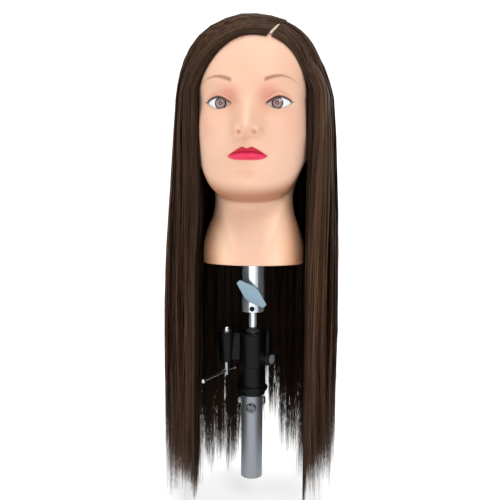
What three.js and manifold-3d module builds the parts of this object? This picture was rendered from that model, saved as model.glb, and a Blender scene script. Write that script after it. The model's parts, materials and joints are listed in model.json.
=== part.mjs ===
// A hairdresser's training head on the top of its stand.
//
// The head is a hollow vinyl shell over a foam core, with inset eyes, long straight hair, and a
// plastic socket in the neck. The socket slides over a steel adaptor tube, which a wing screw
// clamps to the rod of a ball stud. The ball is held in a clamp housing that turns on top of a
// 25 mm pole. A screw with a sliding tommy bar grips the ball, and a lever locks the turning.
//
// Millimetres, +Z up. The origin is the centre of the pole's lower end. The face looks along -Y,
// and the wearer's left is +X.
import * as THREE from "three";
import { mergeVertices } from "three/addons/utils/BufferGeometryUtils.js";
import Module from "manifold-3d";

const wasm = await Module();
wasm.setup();

// ---------------------------------------------------------------- driving dimensions
const GAP = 0.35; // between pieces that touch
const AROUND = 24; // sides of a turned piece

// pole
const POLE_R = 12.5;
const POLE_WALL = 1.5;
const POLE_TOP = 102.5;
const BOLT_R = 2;
const SIDE_BOLT_Z = 90;
const FRONT_BOLT_Z = 84;

// pole cap: skirt, flange, body and the spigot that the housing turns on
const CAP_SKIRT_Z = 97.5;
const CAP_FLANGE_Z = 103.5;
const CAP_PLUG_Z = 72;
const CAP_FLANGE_R = 18.3;
const BODY_R = 15.5;
const SEAM_Z = 131;
const SPIGOT_R = 9;
const SPIGOT_TOP = 148;

// ball joint
const BALL_Z = 166;
const BALL_R = 10.8;
const LINER_IN = 11.25;
const LINER_OUT = 12.5;
const CAVITY_R = 12.95;
const HOUSING_TOP = BALL_Z + 2;
const ROD_R = 4.5;
const ROD_TOP = 262;

// clamp beside the ball
const BOSS_X = -31;
const BOSS_R = 10.8;
const BOSS_LOW = 135.5;
const EAR_TOP = BALL_Z + 4.2;
const CLAMP_SCREW_R = 3;
const TOMMY_Z = 124.5;
const TOMMY_R = 1.6;
const TOMMY_HALF = 36;
const TOMMY_SHIFT = 16; // how far the bar is pushed through, towards its near end
const TOMMY_ANGLE = THREE.MathUtils.degToRad(248);
const KNOB_R = 2.8;

// locking lever of the turning joint
const LEVER_Z = 142;
const LEVER_ANGLE = THREE.MathUtils.degToRad(-27);

// adaptor
const ADAPTOR_Z = 195.5;
const ADAPTOR_R = 13;
const ADAPTOR_WALL = 1.7;
const ADAPTOR_TOP = 330;
const WING_Z = 218.5;
const WING_TILT = THREE.MathUtils.degToRad(-42);

// head
const NECK_Z = 253; // underside of the neck
const WALL = 4.5;
const EYE_X = 30;
const EYE_H = 168.5;
const EYE_Y = -64.5;
const EYE_R = 12;
const SOCKET_IN = 13.5;
const SOCKET_OUT = 15.5;

// hair
const HAIR_TIP_Z = -14;
const HAIR_CLEAR = 1.5; // from the scalp
const PARTING_X = 28;
const SIDE_PIVOT = { y: 0, z: 262, radius: 60 };
const BACK_PIVOT = { y: 80, z: 262, radius: 46 };

// ---------------------------------------------------------------- solids
function meshToSolid(geometry) {
  const bare = geometry.index ? geometry.clone() : geometry;
  bare.deleteAttribute("normal");
  bare.deleteAttribute("uv");
  const merged = mergeVertices(bare, 1e-4);
  const triVerts = new Uint32Array(merged.index.array);
  const build = () =>
    new wasm.Manifold(
      new wasm.Mesh({
        numProp: 3,
        vertProperties: merged.attributes.position.array,
        triVerts,
      }),
    );
  let solid = build();
  if (solid.volume() < 0) {
    for (let i = 0; i < triVerts.length; i += 3) {
      [triVerts[i + 1], triVerts[i + 2]] = [triVerts[i + 2], triVerts[i + 1]];
    }
    solid = build();
  }
  return solid;
}

function solidToGeometry(solid) {
  const made = solid.getMesh();
  const points = new Float32Array(made.numVert * 3);
  for (let i = 0; i < made.numVert; i++) {
    points.set(made.vertProperties.subarray(i * made.numProp, i * made.numProp + 3), i * 3);
  }
  const geometry = new THREE.BufferGeometry();
  geometry.setAttribute("position", new THREE.BufferAttribute(points, 3));
  geometry.setIndex(new THREE.BufferAttribute(made.triVerts, 1));
  return geometry;
}

// A profile of [radius, height] pairs turned about Z.
function turned(profile, sides = AROUND) {
  const points = profile.map(([r, z]) => new THREE.Vector2(r, z));
  return meshToSolid(new THREE.LatheGeometry(points, sides).rotateX(Math.PI / 2));
}

// A ring of rectangular section, or a disc when inner is 0.
function ring(inner, outer, low, high, sides = AROUND) {
  const profile = [
    [inner, low],
    [outer, low],
    [outer, high],
    [inner, high],
  ];
  return turned(inner > 0 ? [...profile, [inner, low]] : profile, sides);
}

function box([x0, x1], [y0, y1], [z0, z1]) {
  const geometry = new THREE.BoxGeometry(x1 - x0, y1 - y0, z1 - z0);
  return meshToSolid(geometry.translate((x0 + x1) / 2, (y0 + y1) / 2, (z0 + z1) / 2));
}

function sphere(radius, [x, y, z], across = 20, up = 12) {
  const geometry = new THREE.SphereGeometry(radius, across, up).rotateX(Math.PI / 2);
  return meshToSolid(geometry.translate(x, y, z));
}

// A solid made along +Z, laid so that +Z points along direction and its base is at start.
function aimed(solid, direction, start = [0, 0, 0]) {
  const geometry = solidToGeometry(solid);
  const turn = new THREE.Quaternion().setFromUnitVectors(
    new THREE.Vector3(0, 0, 1),
    new THREE.Vector3(...direction).normalize(),
  );
  geometry.applyQuaternion(turn).translate(...start);
  return meshToSolid(geometry);
}

function moved(solid, x, y, z) {
  return meshToSolid(solidToGeometry(solid).translate(x, y, z));
}

function extruded(shape, depth, curveSegments = 6) {
  return meshToSolid(
    new THREE.ExtrudeGeometry(shape, { depth, bevelEnabled: false, curveSegments }),
  );
}

// ---------------------------------------------------------------- materials
function material(color, roughness, metalness) {
  return new THREE.MeshStandardMaterial({ color, roughness, metalness });
}
const VINYL = material(0xeec0a0, 0.5, 0);
const FOAM = material(0xe8dcc0, 0.9, 0);
const SOCKET_PLASTIC = material(0x2a2a2c, 0.6, 0);
const ACRYLIC = material(0xdfe0e6, 0.15, 0);
const HAIR = material(0x3a2417, 0.45, 0);
const ALUMINIUM = material(0xa9b0b8, 0.35, 1);
const CHROME = material(0xd8dce0, 0.12, 1);
const ZINC = material(0x9fb0ba, 0.3, 1);
const BLACK_PAINT = material(0x151517, 0.45, 0.1);
const BLACK_PLASTIC = material(0x101012, 0.5, 0);
const NYLON = material(0xe6e4da, 0.5, 0);
const STEEL = material(0x8c8f92, 0.35, 1);

const model = new THREE.Group();
function add(name, solid, surface) {
  const mesh = new THREE.Mesh(solidToGeometry(solid), surface);
  mesh.name = name;
  model.add(mesh);
  return solid;
}

// ---------------------------------------------------------------- pole and its cap
function crossBore(radius, z, alongX) {
  const direction = alongX ? [1, 0, 0] : [0, 1, 0];
  const start = alongX ? [-30, 0, z] : [0, -30, z];
  return aimed(ring(0, radius, 0, 60, 16), direction, start);
}
const boltBores = crossBore(BOLT_R + GAP, SIDE_BOLT_Z, true).add(
  crossBore(BOLT_R + GAP, FRONT_BOLT_Z, false),
);

add("pole_tube", ring(POLE_R - POLE_WALL, POLE_R, 0, POLE_TOP).subtract(boltBores), ALUMINIUM);

const plugR = POLE_R - POLE_WALL - GAP;
add("pole_end_plug", ring(0, plugR, 0, 16), BLACK_PLASTIC);

function poleCap() {
  const skirtIn = POLE_R + GAP;
  const profile = [
    [0, CAP_PLUG_Z],
    [plugR, CAP_PLUG_Z],
    [plugR, CAP_FLANGE_Z + GAP],
    [skirtIn, CAP_FLANGE_Z + GAP],
    [skirtIn, CAP_SKIRT_Z],
    [14.2, CAP_SKIRT_Z],
    [15.2, CAP_SKIRT_Z + 2],
    [15.6, CAP_FLANGE_Z],
    [17.6, CAP_FLANGE_Z],
    [CAP_FLANGE_R, CAP_FLANGE_Z + 1.2],
    [CAP_FLANGE_R, CAP_FLANGE_Z + 3.2],
    [17.4, CAP_FLANGE_Z + 4.4],
    [BODY_R, CAP_FLANGE_Z + 4.9],
    [BODY_R, SEAM_Z],
    [SPIGOT_R, SEAM_Z],
    [SPIGOT_R, LEVER_Z - 2.6],
    [SPIGOT_R - 1.4, LEVER_Z - 2.4],
    [SPIGOT_R - 1.4, LEVER_Z + 2.4],
    [SPIGOT_R, LEVER_Z + 2.6],
    [SPIGOT_R, SPIGOT_TOP],
    [0, SPIGOT_TOP],
  ];
  return turned(profile).subtract(boltBores);
}
add("pole_cap", poleCap(), BLACK_PLASTIC);

// A bolt along +Z with a domed head below 0, and the shank up to length.
function domedBolt(length, headR) {
  return turned(
    [
      [0, -3.2],
      [headR * 0.55, -2.9],
      [headR * 0.9, -1.9],
      [headR, -0.6],
      [headR, 0],
      [BOLT_R, 0],
      [BOLT_R, length],
      [0, length],
    ],
    20,
  );
}
function hexNut(height, acrossR, boreR) {
  return ring(boreR, acrossR, 0, height, 6);
}
const seat = POLE_R + GAP;
const boltLength = 2 * seat + 4;
add("side_bolt", aimed(domedBolt(boltLength, 5.4), [-1, 0, 0], [seat, 0, SIDE_BOLT_Z]), STEEL);
const nutBore = BOLT_R + GAP;
add("side_nut", aimed(hexNut(3, 4.2, nutBore), [-1, 0, 0], [-seat, 0, SIDE_BOLT_Z]), STEEL);
const HEX_KEY_R = 2.7; // across the corners
const socketBolt = domedBolt(boltLength, 5.8).subtract(ring(0, HEX_KEY_R, -6, -1, 6));
add("front_bolt", aimed(socketBolt, [0, 1, 0], [0, -seat, FRONT_BOLT_Z]), STEEL);
add("front_nut", aimed(hexNut(3, 4.2, nutBore), [0, 1, 0], [0, seat, FRONT_BOLT_Z]), STEEL);

// ---------------------------------------------------------------- clamp housing
const leverDirection = [Math.cos(LEVER_ANGLE), Math.sin(LEVER_ANGLE), 0];
const LUG_END = 20;
const LEVER_STUD_R = 2;

function alongLever(solid, from) {
  return aimed(solid, leverDirection, [
    leverDirection[0] * from,
    leverDirection[1] * from,
    LEVER_Z,
  ]);
}

function clampHousing() {
  const low = SEAM_Z + GAP;
  const barrel = turned([
    [0, low],
    [BODY_R, low],
    [BODY_R, HOUSING_TOP],
    [0, HOUSING_TOP],
  ]);
  const boss = turned([
    [0, BOSS_LOW],
    [BOSS_R - 3.6, BOSS_LOW],
    [BOSS_R - 2.6, BOSS_LOW + 2],
    [BOSS_R - 0.4, HOUSING_TOP - 3],
    [BOSS_R, HOUSING_TOP],
    [0, HOUSING_TOP],
  ]);
  const web = box([BOSS_X, 0], [-4.5, 4.5], [BOSS_LOW + 3, HOUSING_TOP]);
  const lug = alongLever(ring(0, 8, 0, LUG_END, 24), 0);
  const spigotBore = ring(0, SPIGOT_R + GAP, low - 10, SPIGOT_TOP + 1);
  const cavity = sphere(CAVITY_R, [0, 0, BALL_Z], AROUND, 16);
  const screwBore = moved(ring(0, CLAMP_SCREW_R + GAP, 100, 200, 20), BOSS_X, 0, 0);
  const studBore = alongLever(ring(0, LEVER_STUD_R + GAP, 0, 40, 16), 0);
  return barrel
    .add(moved(boss, BOSS_X, 0, 0))
    .add(web)
    .add(lug.intersect(box([-40, 40], [-40, 40], [low, 200])))
    .subtract(spigotBore)
    .subtract(cavity)
    .subtract(screwBore)
    .subtract(studBore);
}
add("clamp_housing", clampHousing(), BLACK_PAINT);

// The ring that keeps the ball down, with an ear over the boss that the clamp screw pulls on.
function socketCap() {
  const earLow = HOUSING_TOP + GAP;
  const retaining = turned([
    [11, earLow],
    [10.55, BALL_Z + 3.6],
    [9.75, BALL_Z + 5.6],
    [9.95, BALL_Z + 5.9],
    [13.4, BALL_Z + 5.4],
    [14.9, BALL_Z + 4.6],
    [BODY_R, BALL_Z + 3.2],
    [BODY_R, earLow],
    [11, earLow],
  ]);
  const ear = moved(ring(0, BOSS_R, earLow, EAR_TOP), BOSS_X, 0, 0);
  const bridge = box([BOSS_X, -13], [-4.5, 4.5], [earLow, EAR_TOP - 0.2]);
  const screwBore = moved(ring(0, CLAMP_SCREW_R + GAP, 100, 200, 20), BOSS_X, 0, 0);
  return retaining.add(ear).add(bridge).subtract(screwBore);
}
add("socket_cap", socketCap(), BLACK_PAINT);

// A cup of nylon under the ball, cut off before it can meet the retaining ring.
function ballLiner() {
  const points = [];
  const steps = 7;
  const [south, north] = [-62, -4].map(THREE.MathUtils.degToRad);
  for (let i = 0; i <= steps; i++) {
    const a = south + ((north - south) * i) / steps;
    points.push([LINER_OUT * Math.cos(a), BALL_Z + LINER_OUT * Math.sin(a)]);
  }
  for (let i = steps; i >= 0; i--) {
    const a = south + ((north - south) * i) / steps;
    points.push([LINER_IN * Math.cos(a), BALL_Z + LINER_IN * Math.sin(a)]);
  }
  points.push(points[0]);
  return turned(points);
}
add("ball_liner", ballLiner(), NYLON);

// Ball and rod in one piece, with a flat along the front of the rod for the wing screw.
const FLAT_DEPTH = 0.7;
function ballStud() {
  const rod = ring(0, ROD_R, BALL_Z, ROD_TOP, 24);
  const flat = box([-10, 10], [-20, -ROD_R + FLAT_DEPTH], [202, ROD_TOP + 1]);
  return sphere(BALL_R, [0, 0, BALL_Z]).add(rod.subtract(flat));
}
add("ball_stud", ballStud(), CHROME);

// ---------------------------------------------------------------- ball clamp screw and tommy bar
const WASHER_LOW = EAR_TOP + GAP;
const WASHER_TOP = WASHER_LOW + 1.2;
const nutLow = WASHER_TOP + GAP;
add(
  "clamp_washer",
  moved(ring(CLAMP_SCREW_R + GAP, 6.4, WASHER_LOW, WASHER_TOP, 24), BOSS_X, 0, 0),
  STEEL,
);
const clampNut = turned(
  [
    [CLAMP_SCREW_R + GAP, nutLow],
    [4.9, nutLow],
    [4.9, nutLow + 2.6],
    [3.9, nutLow + 4.4],
    [0, nutLow + 5.2],
    [0, nutLow + 3.8],
    [CLAMP_SCREW_R + GAP, nutLow + 3.8],
    [CLAMP_SCREW_R + GAP, nutLow],
  ],
  24,
);
add("clamp_nut", moved(clampNut, BOSS_X, 0, 0), CHROME);

const tommyNear = [Math.cos(TOMMY_ANGLE), Math.sin(TOMMY_ANGLE), 0];
function alongTommy(solid, from) {
  return aimed(solid, tommyNear, [
    BOSS_X + tommyNear[0] * from,
    tommyNear[1] * from,
    TOMMY_Z,
  ]);
}
const clampScrew = turned(
  [
    [0, TOMMY_Z - 5],
    [2.9, TOMMY_Z - 5],
    [3.5, TOMMY_Z - 4.3],
    [3.5, BOSS_LOW - 0.8],
    [CLAMP_SCREW_R, BOSS_LOW - GAP],
    [CLAMP_SCREW_R, nutLow + 3.4],
    [0, nutLow + 3.4],
  ],
  20,
);
add(
  "clamp_screw",
  moved(clampScrew, BOSS_X, 0, 0).subtract(
    alongTommy(ring(0, TOMMY_R + GAP, 0, 20, 16), -10),
  ),
  STEEL,
);
const barNear = TOMMY_SHIFT + TOMMY_HALF;
const barFar = TOMMY_SHIFT - TOMMY_HALF;
add("tommy_bar", alongTommy(ring(0, TOMMY_R, 0, barNear - barFar, 16), barFar), CHROME);
function tommyKnob(at) {
  const bore = ring(0, TOMMY_R + GAP, -KNOB_R, KNOB_R, 12);
  const blind = at > 0 ? moved(bore, 0, 0, -KNOB_R + 0.4) : moved(bore, 0, 0, KNOB_R - 0.4);
  const outward = at > 0 ? 1 : -1;
  return alongTommy(sphere(KNOB_R, [0, 0, 0], 12, 8).subtract(blind), at + outward * GAP);
}
add("tommy_knob_near", tommyKnob(barNear), CHROME);
add("tommy_knob_far", tommyKnob(barFar), CHROME);

// ---------------------------------------------------------------- locking lever
const hubLow = LUG_END + GAP;
const HUB_R = 8.2;
function lockLever() {
  const hub = turned(
    [
      [0, 0],
      [HUB_R, 0],
      [HUB_R, 4],
      [HUB_R - 1, 5.6],
      [5.8, 5.8],
      [5.8, 4.6],
      [0, 4.6],
    ],
    28,
  );
  const outline = new THREE.Shape();
  outline.moveTo(-4.2, 0);
  outline.lineTo(-3.2, 28.4);
  outline.absarc(0, 30.4, 4.2, Math.PI * 0.9, Math.PI * 0.1, true);
  outline.lineTo(4.2, 0);
  outline.closePath();
  const arm = extruded(outline, 3.6);
  const stud = ring(0, LEVER_STUD_R + GAP, -1, 4, 16);
  const flatLever = hub.add(arm).subtract(stud);
  return alongLeverUpright(flatLever, hubLow);
}
// The lever's own +Y stands upright and its +Z points out along the stud.
function alongLeverUpright(solid, from) {
  const out = new THREE.Vector3(...leverDirection);
  const up = new THREE.Vector3(0, 0, 1);
  const across = new THREE.Vector3().crossVectors(up, out);
  const place = new THREE.Matrix4().makeBasis(across, up, out);
  place.setPosition(out.x * from, out.y * from, LEVER_Z);
  return meshToSolid(solidToGeometry(solid).applyMatrix4(place));
}
add("lock_lever", lockLever(), BLACK_PLASTIC);
const studTip = SPIGOT_R - 1.4 + GAP;
add(
  "lever_stud",
  alongLever(ring(0, LEVER_STUD_R, 0, hubLow + 3.6 - studTip, 16), studTip),
  STEEL,
);
add("lever_cap", alongLever(ring(0, 5.4, 0, 1.4, 24), hubLow + 4.6 + GAP), STEEL);

// ---------------------------------------------------------------- adaptor
const BUSH_TOP = 228;
const SET_SCREW_Z = 199.8;
const SET_SCREW_R = 2.6;
const WING_STUD_R = 3;
function frontBore(radius, z, depth) {
  return aimed(ring(0, radius, 0, depth, 16), [0, -1, 0], [0, 0, z]);
}
const frontBores = frontBore(WING_STUD_R + GAP, WING_Z, 30).add(
  frontBore(SET_SCREW_R + GAP, SET_SCREW_Z, 30),
);
const adaptorIn = ADAPTOR_R - ADAPTOR_WALL;
add(
  "adaptor_tube",
  ring(adaptorIn, ADAPTOR_R, ADAPTOR_Z, ADAPTOR_TOP).subtract(frontBores),
  CHROME,
);
add(
  "adaptor_bush",
  ring(ROD_R + GAP, adaptorIn - GAP, ADAPTOR_Z + 0.6, BUSH_TOP).subtract(frontBores),
  ALUMINIUM,
);
add(
  "adaptor_cap",
  turned([
    [0, ADAPTOR_TOP - 8],
    [adaptorIn - GAP, ADAPTOR_TOP - 8],
    [adaptorIn - GAP, ADAPTOR_TOP + GAP],
    [ADAPTOR_R - 0.5, ADAPTOR_TOP + GAP],
    [ADAPTOR_R - 1.5, ADAPTOR_TOP + 2],
    [0, ADAPTOR_TOP + 2],
  ]),
  BLACK_PLASTIC,
);
const setScrew = ring(0, SET_SCREW_R, 0, 6.4, 16).subtract(ring(0, 1.3, 4, 8, 6));
add("set_screw", aimed(setScrew, [0, -1, 0], [0, -(ROD_R + GAP), SET_SCREW_Z]), BLACK_PAINT);

// ---------------------------------------------------------------- wing screw
const WING_LENGTH = 42;
const WING_WIDTH = 18;
const WING_TIP = 7;
function wingHandle() {
  const half = WING_LENGTH / 2;
  const tip = WING_TIP / 2;
  const outline = new THREE.Shape();
  outline.moveTo(-half + 2, -tip);
  outline.lineTo(-3, -WING_WIDTH / 2);
  outline.lineTo(3, -WING_WIDTH / 2);
  outline.lineTo(half - 2, -tip);
  outline.quadraticCurveTo(half, -tip, half, -tip + 2);
  outline.lineTo(half, tip - 2);
  outline.quadraticCurveTo(half, tip, half - 2, tip);
  outline.lineTo(3, WING_WIDTH / 2);
  outline.lineTo(-3, WING_WIDTH / 2);
  outline.lineTo(-half + 2, tip);
  outline.quadraticCurveTo(-half, tip, -half, tip - 2);
  outline.lineTo(-half, -tip + 2);
  outline.quadraticCurveTo(-half, -tip, -half + 2, -tip);
  const plate = meshToSolid(
    new THREE.ExtrudeGeometry(outline, {
      depth: 2.4,
      bevelThickness: 0.8,
      bevelSize: 0.8,
      bevelOffset: -0.8,
      bevelSegments: 2,
      curveSegments: 3,
    }).rotateZ(WING_TILT),
  );
  const hub = ring(0, 5.2, -5, 1, 20);
  return moved(plate, 0, 0, 0.8)
    .add(hub)
    .subtract(ring(0, WING_STUD_R + GAP, -9, 1.4, 16));
}
const wingSeat = ADAPTOR_R + 0.6 + 5;
// The plate's own +Y stands upright and its +Z points forward.
function facingForward(solid, distance, z) {
  const place = new THREE.Matrix4().makeBasis(
    new THREE.Vector3(1, 0, 0),
    new THREE.Vector3(0, 0, 1),
    new THREE.Vector3(0, -1, 0),
  );
  place.setPosition(0, -distance, z);
  return meshToSolid(solidToGeometry(solid).applyMatrix4(place));
}
add("wing_handle", facingForward(wingHandle(), wingSeat, WING_Z), ZINC);
const wingTip = ROD_R - FLAT_DEPTH + GAP;
add(
  "wing_stud",
  aimed(ring(0, WING_STUD_R, 0, wingSeat + 1 - wingTip, 16), [0, -1, 0], [0, -wingTip, WING_Z]),
  ZINC,
);

// ---------------------------------------------------------------- head surface
// Each station is a line round the head, given as [distance from the axis, height above the
// underside of the neck] at every 30 degrees from the front to the back.
const STATIONS = [
  [[50, 0], [51, 0], [55, 0], [58, 0], [56, 0], [52, 0], [50, 0]],
  [[49, 18], [50.5, 18], [55, 18], [58.5, 18], [56, 18], [51, 18], [49, 18]],
  [[44.5, 38], [46, 38], [50.5, 38], [53.5, 38], [52, 38], [48.5, 38], [47, 38]],
  [[41, 55], [42.5, 55], [45, 56], [46.3, 58], [47.5, 60], [47.5, 60], [47, 58]],
  [[43, 65], [43.5, 67], [44, 73], [44.8, 79], [48.5, 79], [50.5, 77], [50.5, 74]],
  [[62, 70], [58, 73], [50.5, 85], [49.5, 96], [54.5, 96], [58, 92], [58, 88]],
  [[80, 74], [72, 80.5], [59, 98], [56, 111], [61, 110], [67, 104], [68, 100]],
  [[89, 84], [79.5, 91.5], [65, 109], [61, 124], [67, 122], [77, 116], [79, 112]],
  [[88, 98], [82, 102], [69, 117], [64, 135], [72, 135], [85, 129], [88, 125]],
  [[89.5, 113], [84, 117], [71.5, 131], [66.5, 149], [76, 149], [91, 144], [95, 140]],
  [[90.5, 129], [85.5, 133], [73.5, 146], [68.5, 163], [79, 164], [95, 160], [99, 157]],
  [[89.5, 148], [85.5, 151], [74, 162], [70, 177], [81.5, 179], [98, 177], [102, 175]],
  [[88, 169], [84.5, 170], [74, 178], [71.5, 191], [83.5, 194], [99, 194], [103, 194]],
  [[91, 190], [87.5, 190], [76.5, 195], [73, 206], [83, 209], [97, 210], [101.5, 211]],
  [[90.5, 209], [87.5, 209], [78, 211], [72.5, 219], [80, 223], [91, 225], [95, 227]],
  [[83.5, 231], [81.5, 230], [74.5, 229], [68.5, 233], [73.5, 238], [81, 240], [85, 242]],
  [[66, 251], [65, 250], [61, 249], [57, 249], [60, 253], [65, 255], [68, 256]],
  [[38, 265], [38, 265], [37, 264.5], [37, 264], [39, 266], [41.5, 267], [43, 267.5]],
  [[0, 271], [0, 271], [0, 271], [0, 271], [0, 271], [0, 271], [0, 271]],
];
const COLUMN_STEP = Math.PI / (STATIONS[0].length - 1);

function catmull(a, b, c, d, t) {
  const cubic = -a + 3 * b - 3 * c + d;
  const square = 2 * a - 5 * b + 4 * c - d;
  return 0.5 * (2 * b + t * (c - a + t * (square + t * cubic)));
}

// One station's radius or height at an angle from the front; the two halves mirror each other.
function aroundStation(station, angle, part) {
  const last = station.length - 1;
  const at = Math.abs(angle) / COLUMN_STEP;
  const i = Math.min(Math.floor(at), last - 1);
  const value = (k) => station[k < 0 ? -k : k > last ? 2 * last - k : k][part];
  return catmull(value(i - 1), value(i), value(i + 1), value(i + 2), at - i);
}

function headRadiusAndHeight(along, angle) {
  const last = STATIONS.length - 1;
  const i = Math.min(Math.floor(along), last - 1);
  const at = (k, part) => {
    const station = STATIONS[Math.max(0, Math.min(last, k))];
    return aroundStation(station, angle, part);
  };
  const both = [0, 1].map((part) =>
    catmull(at(i - 1, part), at(i, part), at(i + 1, part), at(i + 2, part), along - i),
  );
  return [Math.max(both[0], 0), both[1]];
}

const bump = (value, centre, spread) => Math.exp(-(((value - centre) / spread) ** 2));

// How far the features of the face stand out of the plain surface, at x across and h up.
function faceRelief(x, h) {
  const side = Math.abs(x);
  const noseRidge = 17 * bump(h, 142, h > 142 ? 17 : 5.5) * bump(x, 0, h > 150 ? 7 : 9);
  const nostrilWings = 7 * bump(side, 11, 4.5) * bump(h, 137.5, 5);
  const brow = 2.5 * bump(side, 24, 17) * bump(h, 191, 8);
  const eyeHollow = -6.5 * bump(side, 29, 14) * bump(h, 169, 9);
  const cheek = 2.5 * bump(side, 42, 15) * bump(h, 150, 14);
  const lips = 3.6 * bump(x, 0, 15) * (bump(h, 119.5, 3.6) + bump(h, 112, 3.6));
  const mouthLine = -1.5 * bump(x, 0, 18) * bump(h, 115.7, 1.8);
  const chin = 4 * bump(x, 0, 17) * bump(h, 87, 8);
  const chinGroove = -2.5 * bump(x, 0, 17) * bump(h, 102, 4.5);
  return (
    noseRidge + nostrilWings + brow + eyeHollow + cheek + lips + mouthLine + chin + chinGroove
  );
}

function headPoint(along, angle, offset, features) {
  const [radius, height] = headRadiusAndHeight(along, angle);
  const outward = radius + offset;
  const x = outward * Math.sin(angle);
  const y = -outward * Math.cos(angle);
  const front = Math.max(0, Math.cos(angle)) ** 0.5;
  const top = along / (STATIONS.length - 1);
  const lift = offset * Math.max(0, (top - 0.75) / 0.25) ** 2;
  const relief = features && angle * angle < 2 ? front * faceRelief(x, height) : 0;
  return [x, y - relief, height + lift];
}

// Rings of points joined into one closed skin, with a fan at each end.
function skinned(rings) {
  const points = [];
  const faces = [];
  const n = rings[0].length;
  const centre = (list) => list.reduce((s, p) => s.map((v, k) => v + p[k] / n), [0, 0, 0]);
  rings.forEach((r) => r.forEach((p) => points.push(...p)));
  points.push(...centre(rings[0]), ...centre(rings.at(-1)));
  const bottom = rings.length * n;
  const high = (rings.length - 1) * n;
  for (let j = 0; j < n; j++) {
    const k = (j + 1) % n;
    faces.push(bottom, k, j, bottom + 1, high + j, high + k);
    for (let i = 0; i < rings.length - 1; i++) {
      const [a, b] = [i * n + j, i * n + k];
      faces.push(a, b, b + n, a, b + n, a + n);
    }
  }
  const geometry = new THREE.BufferGeometry();
  geometry.setAttribute("position", new THREE.Float32BufferAttribute(points, 3));
  geometry.setIndex(faces);
  return meshToSolid(geometry);
}

// Steps along the stations and round the head for one skin of it.
function headSkin({ offset = 0, features = false, alongSteps, angles, base = 0 }) {
  const top = STATIONS.length - 1.12;
  const rings = alongSteps
    .concat([top])
    .map((a) => angles.map((t) => headPoint(a, t, offset, features)));
  if (base) rings.unshift(rings[0].map(([x, y, h]) => [x, y, h + base]));
  return moved(skinned(rings), 0, 0, NECK_Z);
}

function evenSteps(from, to, count) {
  return Array.from({ length: count + 1 }, (_, i) => from + ((to - from) * i) / count);
}
const fineAngles = (() => {
  const half = [0, 4, 8, 12.5, 18, 24, 31, 39, 50, 65, 85, 108, 132, 156, 180].map(
    THREE.MathUtils.degToRad,
  );
  return [...half.slice(1, -1).reverse().map((a) => -a), ...half];
})();
const coarseAngles = evenSteps(-154.3, 180, 13).map(THREE.MathUtils.degToRad);
const fineAlong = [...evenSteps(0, 5, 5), ...evenSteps(5.5, 12.5, 18), ...evenSteps(13.2, 17.4, 6)];
const coarseAlong = evenSteps(0, 17.4, 10);

// ---------------------------------------------------------------- head
const eyeBalls = [-1, 1].map((s) => [s * EYE_X, EYE_Y, NECK_Z + EYE_H]);
const eyePockets = eyeBalls
  .map((c) => sphere(EYE_R + GAP + 0.15, c, 16, 10))
  .reduce((a, b) => a.add(b));

// The almond between the lids, cut back to the middle of the eye.
function lidOpening([x, y, z]) {
  const outline = new THREE.Shape();
  outline.moveTo(-12.5, -0.8);
  outline.quadraticCurveTo(-4, 9.8, 0, 6.2);
  outline.quadraticCurveTo(6, 8.6, 12.5, -0.8);
  outline.quadraticCurveTo(0, -10, -12.5, -0.8);
  const prism = solidToGeometry(extruded(outline, 30, 4)).rotateX(Math.PI / 2);
  return meshToSolid(prism.translate(x, y - 1, z));
}
const lidOpenings = eyeBalls.map(lidOpening).reduce((a, b) => a.add(b));

function headShell() {
  const outer = headSkin({ features: true, alongSteps: fineAlong, angles: fineAngles });
  const inner = headSkin({
    offset: -WALL - 2.5,
    alongSteps: coarseAlong,
    angles: coarseAngles,
    base: -5,
  });
  return outer.subtract(inner).subtract(eyePockets).subtract(lidOpenings);
}
add("head_shell", headShell(), VINYL);

const PLATE_TOP = NECK_Z + 4;
const CORE_LOW = NECK_Z + 5;
const SOCKET_TOP = ADAPTOR_TOP + 2 + GAP + 3;
function foamCore() {
  const block = headSkin({
    offset: -WALL - 3.6,
    alongSteps: coarseAlong,
    angles: coarseAngles,
  });
  const socketRoom = ring(0, SOCKET_OUT + 0.5, NECK_Z - 20, SOCKET_TOP + 0.6, 24);
  const chinRoom = box([-100, 100], [-120, -34], [NECK_Z + 40, NECK_Z + 88]);
  return block
    .intersect(box([-100, 100], [-100, 120], [CORE_LOW, NECK_Z + 262]))
    .subtract(socketRoom)
    .subtract(chinRoom)
    .subtract(eyePockets);
}
add("foam_core", foamCore(), FOAM);

function ovalPlate(acrossX, acrossY, low, high) {
  const outline = new THREE.Shape();
  outline.absellipse(0, 0, acrossX, acrossY, 0, 2 * Math.PI);
  return moved(extruded(outline, high - low, 20), 0, 0, low);
}
add(
  "neck_base_plate",
  ovalPlate(47, 40, NECK_Z + 0.8, PLATE_TOP).subtract(
    ring(0, SOCKET_OUT + GAP, NECK_Z - 5, PLATE_TOP + 5),
  ),
  SOCKET_PLASTIC,
);
add(
  "neck_socket",
  turned([
    [SOCKET_IN, NECK_Z + 0.8],
    [SOCKET_OUT, NECK_Z + 0.8],
    [SOCKET_OUT, SOCKET_TOP],
    [0, SOCKET_TOP],
    [0, SOCKET_TOP - 3],
    [SOCKET_IN, SOCKET_TOP - 3],
    [SOCKET_IN, NECK_Z + 0.8],
  ]),
  SOCKET_PLASTIC,
);
// Half-round acrylic eyes, flat at the back.
["right_eye", "left_eye"].forEach((name, i) => {
  const front = box([-60, 60], [-100, EYE_Y + 3], [NECK_Z + 100, NECK_Z + 220]);
  add(name, sphere(EYE_R, eyeBalls[i], 16, 10).intersect(front), ACRYLIC);
});

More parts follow.
